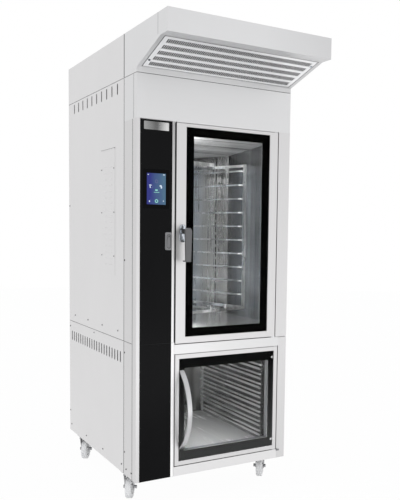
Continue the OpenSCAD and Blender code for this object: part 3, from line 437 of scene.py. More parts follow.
@dataclass(frozen=True)
class BrushedSteel:
    """Stainless sheet with a brushed grain, wipe marks, and lighter edges that are partly wear, partly painted
    highlight.
    """

    name: str
    colour: Colour
    roughness: float
    grain: Grain
    contrast: float = 0.5
    fineness: float = 900.0
    metallic: float = 1.0
    edge: float = 0.0012
    cloud: float = 0.10
    fades: tuple[Fade, ...] = ()

    def build(self, shared: ShaderLibrary) -> Finish:
        """Builds the material.

        Args:
            shared: The shared shader groups.

        Returns:
            The finished material.
        """
        m = Material(self.name)
        grain = m.group(shared.grain, Stretch=self.grain.value, Fineness=self.fineness, Contrast=self.contrast)
        edges = m.group(shared.edges, Radius=self.edge)
        clouds = m.group(shared.clouds, Size=2.2, Contrast=1.4)
        dark = shaded(self.colour, 1.0 - 0.24 * self.contrast)
        light = shaded(self.colour, 1.0 + 0.16 * self.contrast)
        tone = m.n.blend(grain.outputs["Streak"], dark, light)
        tone = m.n.blend(m.n.math("MULTIPLY", clouds.outputs["Cloud"], self.cloud), tone,
                         shaded(self.colour, 0.72))
        # Lighter edges: partly worn edges, partly painted highlight.
        tone = m.n.blend(m.n.math("MULTIPLY", edges.outputs["Edge"], 0.5), tone,
                         shaded(self.colour, 1.15))
        m.n.link(m.faded(tone, self.fades), m.shader.inputs["Base Color"])
        rough = m.n.math("ADD", m.n.math("MULTIPLY", grain.outputs["Streak"], 0.10),
                         m.n.math("MULTIPLY", clouds.outputs["Cloud"], 0.08))
        m.n.link(m.n.math("ADD", rough, self.roughness - 0.09), m.shader.inputs["Roughness"])
        m.relief(grain.outputs["Height"], 0.10 * self.contrast, 0.0003, edges.outputs["Normal"])
        m.values(Metallic=self.metallic, Specular_IOR_Level=0.5)
        return m.data


@dataclass(frozen=True)
class Plated:
    """Polished or plated metal with faint clouding."""

    name: str
    colour: Colour
    roughness: float
    edge: float = 0.0008
    shade: float = 0.78
    size: float = 14.0

    def build(self, shared: ShaderLibrary) -> Finish:
        """Builds the material.

        Args:
            shared: The shared shader groups.

        Returns:
            The finished material.
        """
        m = Material(self.name)
        edges = m.group(shared.edges, Radius=self.edge)
        clouds = m.group(shared.clouds, Size=self.size, Contrast=2.4)
        tone = m.n.blend(m.n.spread(clouds.outputs["Cloud"], 0.30, 0.75), self.colour,
                         shaded(self.colour, self.shade))
        m.n.link(tone, m.shader.inputs["Base Color"])
        m.roughen(clouds.outputs["Cloud"], 0.10, self.roughness - 0.05)
        m.n.link(edges.outputs["Normal"], m.shader.inputs["Normal"])
        m.values(Metallic=1.0)
        return m.data


@dataclass(frozen=True)
class Moulded:
    """Plastic, rubber, nylon or paint with a fine grain."""

    name: str
    colour: Colour
    roughness: float
    size: float = 1400.0
    depth: float = 0.12
    specular: float = 0.4
    edge: float = 0.0010
    rub_and_highlight: float = 0.12

    def build(self, shared: ShaderLibrary) -> Finish:
        """Builds the material.

        Args:
            shared: The shared shader groups.

        Returns:
            The finished material.
        """
        m = Material(self.name)
        speckle = m.group(shared.speckle, Size=self.size)
        edges = m.group(shared.edges, Radius=self.edge)
        clouds = m.group(shared.clouds, Size=9.0, Contrast=1.2)
        tone = m.n.blend(speckle.outputs["Spot"], shaded(self.colour, 0.88),
                         shaded(self.colour, 1.10, 0.002))
        # Lighter edges: partly worn edges, partly painted highlight.
        tone = m.n.blend(m.n.math("MULTIPLY", edges.outputs["Edge"], self.rub_and_highlight), tone,
                         shaded(self.colour, 1.4, 0.05))
        m.n.link(tone, m.shader.inputs["Base Color"])
        m.roughen(clouds.outputs["Cloud"], 0.14, self.roughness - 0.07)
        m.relief(speckle.outputs["Height"], self.depth, 0.0004, edges.outputs["Normal"])
        m.values(Specular_IOR_Level=self.specular)
        return m.data


@dataclass(frozen=True)
class PaintedGlass:
    """Glass with a dark print behind it."""

    name: str
    colour: Colour
    roughness: float
    specular: float
    fades: tuple[Fade, ...] = ()

    def build(self, shared: ShaderLibrary) -> Finish:
        """Builds the material.

        Args:
            shared: The shared shader groups.

        Returns:
            The finished material.
        """
        m = Material(self.name)
        clouds = m.group(shared.clouds, Size=5.0, Contrast=1.6)
        edges = m.group(shared.edges, Radius=0.0012)
        tone = m.n.blend(clouds.outputs["Cloud"], self.colour, shaded(self.colour, 1.25))
        # Lighter edges: partly the edge's own tone, partly painted highlight.
        tone = m.n.blend(m.n.math("MULTIPLY", edges.outputs["Edge"], 0.3), tone, (0.05, 0.06, 0.06))
        m.n.link(m.faded(tone, self.fades), m.shader.inputs["Base Color"])
        m.roughen(clouds.outputs["Cloud"], 0.06, self.roughness)
        m.n.link(edges.outputs["Normal"], m.shader.inputs["Normal"])
        m.values(Specular_IOR_Level=self.specular)
        return m.data


@dataclass(frozen=True)
class ClearGlass:
    """Coated door glass that lets the room's light in and reflects little."""

    name: str
    tint: Colour
    ior: float

    def build(self, shared: ShaderLibrary) -> Finish:
        """Builds the material.

        Args:
            shared: The shared shader groups.

        Returns:
            The finished material.
        """
        m = Material(self.name)
        clouds = m.group(shared.clouds, Size=6.0, Contrast=1.5)
        tone = m.n.blend(clouds.outputs["Cloud"], self.tint, shaded(self.tint, 1.01))
        m.n.link(tone, m.shader.inputs["Base Color"])
        m.values(Roughness=0.0, IOR=self.ior, Transmission_Weight=1.0)
        path = m.n.add("ShaderNodeLightPath")
        through = m.n.add("ShaderNodeBsdfTransparent", Color=(0.94, 0.95, 0.95, 1.0))
        m.n.mix(path.outputs["Is Shadow Ray"], m.shader.outputs["BSDF"], through.outputs["BSDF"],
                m.out.inputs["Surface"])
        return m.data


@dataclass(frozen=True)
class Lit:
    """Glowing surface whose colour runs from one corner to the other."""

    name: str
    low: Colour
    high: Colour
    strength: float
    start: Vec = (0.0, 0.0, 0.0)
    end: Vec = (0.0, 0.0, 1.0)

    def build(self, shared: ShaderLibrary) -> Finish:
        """Builds the material.

        Args:
            shared: The shared shader groups.

        Returns:
            The finished material.
        """
        m = Material(self.name)
        along = Vector(self.end) - Vector(self.start)
        coord = m.n.add("ShaderNodeTexCoord")
        shift = m.n.add("ShaderNodeVectorMath", operation="SUBTRACT")
        m.n.link(coord.outputs["Object"], shift.inputs[0])
        shift.inputs[1].default_value = self.start
        dot = m.n.add("ShaderNodeVectorMath", operation="DOT_PRODUCT")
        m.n.link(shift.outputs[0], dot.inputs[0])
        dot.inputs[1].default_value = along / along.length_squared
        clouds = m.group(shared.clouds, Size=30.0, Contrast=0.5)
        place = m.n.math("ADD", dot.outputs["Value"], m.n.math("SUBTRACT", clouds.outputs["Cloud"], 0.5))
        glow = m.n.blend(m.n.spread(place, 0.0, 1.0), self.low, self.high)
        m.n.link(glow, m.shader.inputs["Emission Color"])
        m.values(Base_Color=(0.01, 0.01, 0.012, 1.0), Roughness=0.2, Emission_Strength=self.strength,
                 Specular_IOR_Level=0.1)
        return m.data


Recipe = BrushedSteel | Plated | Moulded | PaintedGlass | ClearGlass | Lit


# ---------------------------------------------------------------- meshes


def put_in_scene(name: str, data: bpy.types.ID) -> Piece:
    """Makes an object and links it to the scene.

    Args:
        name: Name of the object.
        data: Its mesh, lamp or camera.

    Returns:
        The new object.
    """
    thing = bpy.data.objects.new(name, data)
    bpy.context.scene.collection.objects.link(thing)
    return thing


def place_mesh(name: str, bm: Mesh, material: Finish) -> Piece:
    """Turns a finished bmesh into a scene object at the origin.

    Args:
        name: Name of the piece.
        bm: Its mesh, which is freed.
        material: Its finish.

    Returns:
        The new object.
    """
    bmesh.ops.remove_doubles(bm, verts=bm.verts, dist=WELD)
    bmesh.ops.recalc_face_normals(bm, faces=bm.faces)
    for face in bm.faces:
        face.smooth = True
    for edge in bm.edges:
        edge.smooth = len(edge.link_faces) == 2 and edge.calc_face_angle(0.0) < SHARP
    data = bpy.data.meshes.new(name)
    bm.to_mesh(data)
    bm.free()
    data.materials.append(material)
    return put_in_scene(name, data)


def ride(piece: Piece, body: str, slot: str, *replaced: str) -> Piece:
    """Attaches a piece to its body, hides the CAD nodes that it replaces and logs it.

    Args:
        piece: The piece.
        body: Body that it moves with.
        slot: Record slot that its finish stands for; not used.
        replaced: CAD nodes that it stands for.

    Returns:
        The same piece.
    """
    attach(piece, body)
    if replaced:
        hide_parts(*replaced)
    LOG.info("%s rides on %s", piece.name, body)
    return piece


def rounded_outline(width: float, height: float, radius: float, steps: int = 6) -> list[Span]:
    """Outline of a rectangle with round corners, about its middle.

    Args:
        width: Size along the first axis.
        height: Size along the second axis.
        radius: Corner radius.
        steps: Segments in each corner.

    Returns:
        Points in order.
    """
    points = []
    for corner in range(4):
        cx = (width / 2 - radius) * (1 if corner in (0, 3) else -1)
        cy = (height / 2 - radius) * (1 if corner in (0, 1) else -1)
        for step in range(steps + 1):
            a = math.radians(90.0 * corner + 90.0 * step / steps)
            points.append((cx + radius * math.cos(a), cy + radius * math.sin(a)))
    return points


def slab(outline: Outline, thickness: float, matrix: Matrix, bevel: float = 0.0) -> Mesh:
    """Extrudes an outline along +Z and places it.

    Args:
        outline: Points in the XY plane.
        thickness: Height of the slab.
        matrix: Its place.
        bevel: Width of its rounded edges.

    Returns:
        The mesh.
    """
    bm = bmesh.new()
    face = bm.faces.new([bm.verts.new((x, y, 0.0)) for x, y in outline])
    made = bmesh.ops.extrude_face_region(bm, geom=[face])
    top = [v for v in made["geom"] if isinstance(v, bmesh.types.BMVert)]
    bmesh.ops.translate(bm, verts=top, vec=(0.0, 0.0, thickness))
    bmesh.ops.recalc_face_normals(bm, faces=bm.faces)
    if bevel:
        rim = [e for e in bm.edges if all(abs(v.co.z - thickness) < 1e-7 for v in e.verts)]
        bmesh.ops.bevel(bm, geom=rim, offset=bevel, segments=2, profile=0.5, affect="EDGES")
    bmesh.ops.transform(bm, matrix=matrix, verts=bm.verts)
    return bm


ORIGIN = Vector((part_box("proofer_left_panel")[0].x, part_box("column_glass")[0].y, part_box("proofer_left_panel")[0].z))


def at(x: float, y: float, z: float) -> Vector:
    """Returns the scene's point for millimetres from the body's front left bottom corner."""
    return ORIGIN + Vector((x, y, z)) * MM


def bar(x: Span, y: Span, z: Span, rounding: float = 0.3, matrix: Matrix | None = None) -> Mesh:
    """Makes a straight bar or strip with rounded edges, in millimetres.

    Args:
        x: Its lowest and highest X.
        y: Its lowest and highest Y.
        z: Its lowest and highest Z.
        rounding: Radius of its long edges.
        matrix: Frame that it lies in, or the body's.

    Returns:
        The mesh.
    """
    spans = [(b - a) * MM for a, b in (x, y, z)]
    middle = Vector(((x[0] + x[1]) / 2, (y[0] + y[1]) / 2, (z[0] + z[1]) / 2)) * MM
    long = spans.index(max(spans))
    turn = (Matrix.Rotation(math.radians(90), 4, "Y"), Matrix.Rotation(math.radians(-90), 4, "X"), Matrix())[long]
    wide, high = ((spans[2], spans[1]), (spans[0], spans[2]), (spans[0], spans[1]))[long]
    outline = rounded_outline(wide, high, min(rounding * MM, wide * 0.45, high * 0.45), 3)
    frame_in = Matrix.Translation(ORIGIN) if matrix is None else matrix
    lift = Matrix.Translation((0.0, 0.0, -spans[long] / 2))
    return slab(outline, spans[long], frame_in @ Matrix.Translation(middle) @ turn @ lift)


def ring_slab(outer: Outline, inner: Outline, thickness: float, matrix: Matrix) -> Mesh:
    """Makes a flat ring between two outlines with as many points.

    Args:
        outer: Outer outline in the XY plane.
        inner: Inner outline.
        thickness: Height of the ring.
        matrix: Its place.

    Returns:
        The mesh.
    """
    bm = bmesh.new()
    rows = [[bm.verts.new((x, y, z)) for x, y in line]
            for line, z in ((outer, 0.0), (outer, thickness), (inner, thickness), (inner, 0.0))]
    count = len(outer)
    for row, after in zip(rows, rows[1:] + rows[:1]):
        for i in range(count):
            j = (i + 1) % count
            bm.faces.new((row[i], row[j], after[j], after[i]))
    bmesh.ops.recalc_face_normals(bm, faces=bm.faces)
    bmesh.ops.transform(bm, matrix=matrix, verts=bm.verts)
    return bm


def holed_plate(outline: Outline, hole: Vec, height: Callable[[float, float], float], thickness: float) -> Mesh:
    """Makes a level or slanted sheet with one round hole, in millimetres of the body's frame.

    Args:
        outline: Its corners in plan.
        hole: Middle and radius of the hole in plan.
        height: Gives the height of its underside at a place in plan.
        thickness: Thickness of the sheet.

    Returns:
        The mesh.
    """
    bm = bmesh.new()
    x, y, r = hole
    turns = [math.tau * i / HOLE_STEPS for i in range(HOLE_STEPS)]
    circle = [(x + r * math.cos(a), y + r * math.sin(a)) for a in turns]
    edges = []
    for line in (list(outline), circle):
        verts = [bm.verts.new(at(px, py, height(px, py))) for px, py in line]
        edges += [bm.edges.new((a, b)) for a, b in zip(verts, verts[1:] + verts[:1])]
    bmesh.ops.triangle_fill(bm, use_beauty=True, use_dissolve=False, edges=edges)
    made = bmesh.ops.extrude_face_region(bm, geom=list(bm.faces))
    top = [v for v in made["geom"] if isinstance(v, bmesh.types.BMVert)]
    bmesh.ops.translate(bm, verts=top, vec=(0.0, 0.0, thickness * MM))
    return bm


def lathe(profile: Outline, matrix: Matrix, steps: int = 32) -> Mesh:
    """Turns a profile of (radius, height) points about +Z and places it.

    Args:
        profile: Points from the axis at the bottom to the axis at the top.
        matrix: Its place.
        steps: Segments round the axis.

    Returns:
        The mesh.
    """
    bm = bmesh.new()
    verts = [bm.verts.new((r, 0.0, z)) for r, z in profile]
    edges = [bm.edges.new(pair) for pair in zip(verts, verts[1:])]
    bmesh.ops.spin(bm, geom=verts + edges, cent=(0, 0, 0), axis=(0, 0, 1), angle=2 * math.pi,
                   steps=steps, use_duplicate=False)
    bmesh.ops.remove_doubles(bm, verts=bm.verts, dist=WELD)
    bmesh.ops.recalc_face_normals(bm, faces=bm.faces)
    bmesh.ops.transform(bm, matrix=matrix, verts=bm.verts)
    return bm


def merge(meshes: Iterable[Mesh]) -> Mesh:
    """Joins several meshes into one.

    Args:
        meshes: Meshes, which are freed.

    Returns:
        The joined mesh.
    """
    joined = bmesh.new()
    for part in meshes:
        data = bpy.data.meshes.new("part")
        part.to_mesh(data)
        part.free()
        joined.from_mesh(data)
        bpy.data.meshes.remove(data)
    return joined


# ---------------------------------------------------------------- geometry nodes


class FastenerPattern:
    """Geometry Nodes tree that sets a domed head with a cross recess on every point of a mesh."""

    def __init__(self) -> None:
        """Builds the tree."""
        tree = bpy.data.node_groups.new("domed_fasteners", "GeometryNodeTree")
        face = tree.interface
        face.new_socket("Geometry", in_out="INPUT", socket_type="NodeSocketGeometry")
        for name, value in (("Head Radius", 0.005), ("Head Height", 0.0025), ("Recess Width", 0.0012)):
            face.new_socket(name, in_out="INPUT", socket_type="NodeSocketFloat").default_value = value
        face.new_socket("Turn", in_out="INPUT", socket_type="NodeSocketVector")
        face.new_socket("Finish", in_out="INPUT", socket_type="NodeSocketMaterial")
        face.new_socket("Geometry", in_out="OUTPUT", socket_type="NodeSocketGeometry")
        n = ShaderNodes(tree)
        gin, gout = n.add("NodeGroupInput"), n.add("NodeGroupOutput")
        ball = n.add("GeometryNodeMeshUVSphere")
        ball.inputs["Segments"].default_value = 16
        ball.inputs["Rings"].default_value = 8
        n.link(gin.outputs["Head Radius"], ball.inputs["Radius"])
        flat = n.add("ShaderNodeCombineXYZ", X=1.0, Y=1.0)
        n.link(n.math("DIVIDE", gin.outputs["Head Height"], gin.outputs["Head Radius"]), flat.inputs["Z"])
        dome = n.add("GeometryNodeTransform")
        n.link(ball.outputs["Mesh"], dome.inputs["Geometry"])
        n.link(flat.outputs["Vector"], dome.inputs["Scale"])
        wings = []
        for axis in (0, 1):
            size = n.add("ShaderNodeCombineXYZ")
            n.link(n.math("MULTIPLY", gin.outputs["Head Radius"], 1.1), size.inputs[axis])
            n.link(gin.outputs["Recess Width"], size.inputs[1 - axis])
            n.link(gin.outputs["Head Height"], size.inputs[2])
            block = n.add("GeometryNodeMeshCube")
            n.link(size.outputs["Vector"], block.inputs["Size"])
            lift = n.add("GeometryNodeTransform")
            place = n.add("ShaderNodeCombineXYZ")
            n.link(n.math("MULTIPLY", gin.outputs["Head Height"], 0.95), place.inputs["Z"])
            n.link(block.outputs["Mesh"], lift.inputs["Geometry"])
            n.link(place.outputs["Vector"], lift.inputs["Translation"])
            wings.append(lift)
        cut = n.add("GeometryNodeMeshBoolean", operation="DIFFERENCE", solver="EXACT")
        n.link(dome.outputs["Geometry"], cut.inputs["Mesh 1"])
        for wing in wings:
            n.link(wing.outputs["Geometry"], cut.inputs["Mesh 2"])
        points = n.add("GeometryNodeMeshToPoints")
        n.link(gin.outputs["Geometry"], points.inputs["Mesh"])
        spread = n.add("GeometryNodeInstanceOnPoints")
        n.link(points.outputs["Points"], spread.inputs["Points"])
        n.link(cut.outputs["Mesh"], spread.inputs["Instance"])
        n.link(gin.outputs["Turn"], spread.inputs["Rotation"])
        real = n.add("GeometryNodeRealizeInstances")
        n.link(spread.outputs["Instances"], real.inputs["Geometry"])
        dress = n.add("GeometryNodeSetMaterial")
        n.link(real.outputs["Geometry"], dress.inputs["Geometry"])
        n.link(gin.outputs["Finish"], dress.inputs["Material"])
        n.link(dress.outputs["Geometry"], gout.inputs["Geometry"])
        self.tree = tree

    def make(self, name: str, places: Sequence[Vector], turn: Matrix, material: Finish,
             radius: float = 0.005, height: float = 0.0025, recess: float = 0.0012) -> Piece:
        """Sets heads on the given places.

        Args:
            name: Name of the piece.
            places: Middle of each head's seat.
            turn: Rotation that turns +Z to the way the heads face.
            material: Their finish.
            radius: Radius of a head.
            height: Height of a head.
            recess: Width of its cross recess.

        Returns:
            One plain mesh with all the heads.
        """
        data = bpy.data.meshes.new(name + "_seats")
        data.from_pydata([tuple(p) for p in places], [], [])
        carrier = put_in_scene(name + "_seats", data)
        values = {"Head Radius": radius, "Head Height": height, "Recess Width": recess,
                  "Turn": tuple(turn.to_euler("XYZ")), "Finish": material}
        return bake_nodes(name, carrier, self.tree, values, material)


def bake_nodes(name: str, carrier: Piece, tree: Tree, values: dict[str, object],
               material: Finish) -> Piece:
    """Runs a Geometry Nodes tree on a carrier and keeps its result as a plain mesh.

    Args:
        name: Name of the piece.
        carrier: Object that feeds the tree, which is removed.
        tree: The tree.
        values: Its inputs by name.
        material: Finish of the piece.

    Returns:
        The new object.
    """
    modifier = carrier.modifiers.new("nodes", "NODES")
    modifier.node_group = tree
    for item in tree.interface.items_tree:
        if item.item_type == "SOCKET" and item.in_out == "INPUT" and item.name in values:
            modifier[item.identifier] = values[item.name]
    bpy.context.view_layer.update()
    graph = bpy.context.evaluated_depsgraph_get()
    data = bpy.data.meshes.new_from_object(carrier.evaluated_get(graph), depsgraph=graph)
    data.name = name
    bpy.data.objects.remove(carrier)
    if not data.materials:
        data.materials.append(material)
    return put_in_scene(name, data)


# ---------------------------------------------------------------- sub-assemblies


@dataclass
class Workshop:
    """Everything the sub-assemblies share: groups, finishes and patterns."""

    shared: ShaderLibrary = field(default_factory=ShaderLibrary)
    fasteners: FastenerPattern = field(default_factory=FastenerPattern)
    made: dict[str, Finish] = field(default_factory=dict)

    def finish(self, recipe: Recipe) -> Finish:
        """Returns a finish's material, built at its first use."""
        if recipe.name not in self.made:
            self.made[recipe.name] = recipe.build(self.shared)
        return self.made[recipe.name]

    def add(self, name: str, meshes: Iterable[Mesh], recipe: Recipe, body: str = "cabinet",
            slot: str = "stainless") -> None:
        """Makes one riding piece of several meshes.

        Args:
            name: Name of the piece.
            meshes: Its meshes.
            recipe: Its finish.
            body: Body that it rides on.
            slot: Record slot of its finish.
        """
        ride(place_mesh(name, merge(meshes), self.finish(recipe)), body, slot)

    def dress(self, recipe: Recipe, *nodes: str) -> None:
        """Gives CAD nodes a finish.

        Args:
            recipe: The finish.
            nodes: Names of the nodes.
        """
        material = self.finish(recipe)
        for name in nodes:
            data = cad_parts[name].data
            for index in range(len(data.materials)):
                data.materials[index] = material
            LOG.info("%s wears %s", name, recipe.name)


# Lit and shaded copies of one stainless: the side sheet is lighter and the front sheet darker in colour, painting how
# light falls on each face; the level sheet sits between them.
SIDE_STEEL_LIT = BrushedSteel("side_sheet_lit", (0.72, 0.715, 0.72), 0.36, Grain.ALONG_Z, 0.30)
FRONT_STEEL_SHADED = BrushedSteel("front_sheet_shaded", (0.675, 0.67, 0.675), 0.43, Grain.ALONG_Z, 0.30)
LEVEL_STEEL = BrushedSteel("level_sheet", (0.70, 0.70, 0.705), 0.34, Grain.ALONG_X, 0.30, 900.0, 0.80)
# Painted shade: the canopy's colour grows darker towards its right end.
CANOPY_STEEL = BrushedSteel("canopy_sheet", (0.71, 0.71, 0.715), 0.34, Grain.ALONG_X, 0.30, 900.0, 0.80, fades=(
    Fade("X", at(900, 0, 0).x, at(520, 0, 0).x, (0.62, 0.62, 0.625)),))
# Painted light: the grille in the shade under the hood is given a near-white colour so that it reads bright.
GRILLE_STEEL_LIT = BrushedSteel("grille_sheet_lit", (0.97, 0.97, 0.975), 0.24, Grain.ALONG_X, 0.25, 900.0, 0.40)
# Painted light and shade: the proofer's front frame is lighter than the front sheet, and its fade darkens it towards
# the top.
RAIL_STEEL = BrushedSteel("rail_sheet", (0.78, 0.775, 0.78), 0.34, Grain.ALONG_X, 0.30, fades=(
    Fade("Z", at(0, 0, 680).z, at(0, 0, 300).z, (0.66, 0.66, 0.665)),))
# Painted shade and reflection: the chamber's stainless is made dark to paint the dim inside, and its strong grain
# contrast paints streaked reflections.
CHAMBER_STEEL_SHADED = BrushedSteel("chamber_sheet_shaded", (0.34, 0.34, 0.34), 0.22, Grain.ALONG_Z, 2.6, 110.0, 1.0)
# Painted light and reflection: the ceiling sheet is near white to paint it lit, and its strong grain contrast paints
# streaked reflections.
CEILING_STEEL_LIT = BrushedSteel("ceiling_sheet_lit", (0.92, 0.91, 0.90), 0.30, Grain.ALONG_X, 3.2, 110.0, 0.15)
FLOOR_STEEL = BrushedSteel("floor_sheet", (0.72, 0.72, 0.72), 0.20, Grain.ALONG_X, 0.8, 200.0, 0.55)
# Painted shade: the cavity's stainless is made dark to paint the dim inside.
CAVITY_STEEL_SHADED = BrushedSteel("cavity_sheet_shaded", (0.30, 0.30, 0.30), 0.24, Grain.ALONG_Y, 1.8, 130.0, 0.85)
PLAIN_STEEL = BrushedSteel("plain_sheet", (0.60, 0.61, 0.62), 0.40, Grain.ALONG_X, 0.5)
WIRE_STEEL = Plated("bright_wire", (0.92, 0.92, 0.92), 0.30, 0.0008, 0.40, 9.0)
# Painted reflection: the chrome is darkened and blued, and strong dark cloud patches paint the reflection of a dark
# room.
CHROME_PAINTED_REFLECTION = Plated("chrome_painted_reflection", (0.56, 0.60, 0.65), 0.10, 0.0008, 0.12, 48.0)
HANDLE_STEEL = BrushedSteel("handle_steel", (0.56, 0.56, 0.57), 0.28, Grain.ALONG_Z, 0.45, 700.0)
ZINC = Plated("bright_zinc", (0.70, 0.71, 0.72), 0.24, 0.0008, 0.60, 20.0)
CAST = Moulded("cast_keeper", (0.235, 0.235, 0.24), 0.42, 1800.0, 0.10)
# The lever's edges are lightened strongly, partly as a painted highlight.
LEVER_GREY = Moulded("lever_grey", (0.125, 0.125, 0.127), 0.34, 2200.0, 0.06, 0.4, 0.0016, 0.45)
BLACK_GLASS = PaintedGlass("column_black", (0.0050, 0.0050, 0.0054), 0.16, 0.05)
BLACK_PRINT = PaintedGlass("border_black", (0.0010, 0.0010, 0.0010), 0.5, 0.02)
BEZEL_BLACK = PaintedGlass("bezel_black", (0.0012, 0.0012, 0.0016), 0.12, 0.06)
DOOR_GLASS = ClearGlass("door_glass", (0.98, 0.985, 0.985), 1.10)
RUBBER = Moulded("gasket_rubber", (0.015, 0.015, 0.016), 0.62, 900.0, 0.2)
NYLON = Moulded("white_nylon", (0.96, 0.96, 0.95), 0.42, 700.0, 0.10)
# Black-faced insulation: partly its facing, partly painted shade seen through the vent slots.
WOOL_SLOT_SHADE = Moulded("black_faced_wool_slot_shade", (0.030, 0.029, 0.028), 0.95, 260.0, 0.9, 0.1)
MOTOR_PAINT = Moulded("motor_paint", (0.09, 0.11, 0.13), 0.38, 900.0, 0.15)
HOUSING = Moulded("grey_housing", (0.30, 0.31, 0.33), 0.5, 1400.0, 0.15)
HEATER = Moulded("heater_sheath", (0.06, 0.055, 0.05), 0.55, 1600.0, 0.2)
FAN_METAL = Plated("fan_metal", (0.60, 0.61, 0.62), 0.34)
BRASS = Plated("turned_brass", (0.70, 0.55, 0.28), 0.25)
SCREW = Plated("screw_steel", (0.11, 0.11, 0.115), 0.30)
FORK_ZINC = Plated("fork_zinc", (0.42, 0.42, 0.43), 0.24, 0.0008, 0.50, 22.0)
# Painted light: the cavity's floor tray is a much lighter copy of the cavity's stainless.
TRAY_STEEL_LIT = BrushedSteel("tray_sheet_lit", (0.88, 0.88, 0.88), 0.26, Grain.ALONG_Y, 1.2, 160.0, 0.35)
RUNNER_STEEL = BrushedSteel("runner_sheet", (0.53, 0.53, 0.53), 0.28, Grain.ALONG_Y, 1.4, 300.0, 0.60)
# Painted shade: a near-black strip laid in seams and gaps, standing for the shade inside them.
SEAM_SHADE = Moulded("painted_seam_shade", (0.020, 0.020, 0.021), 0.7, 1100.0, 0.2, 0.2)
SHADOW = Moulded("pressed_shadow", (0.10, 0.10, 0.10), 0.55, 1600.0, 0.1, 0.3)
# Near-black mat: partly the mat's own colour, partly painted shade in the grille's slots; it also paints the shade
# round each slot.
GREASE_MAT_SHADE = Moulded("grease_mat_slot_shade", (0.016, 0.016, 0.017), 0.8, 420.0, 0.8, 0.2)


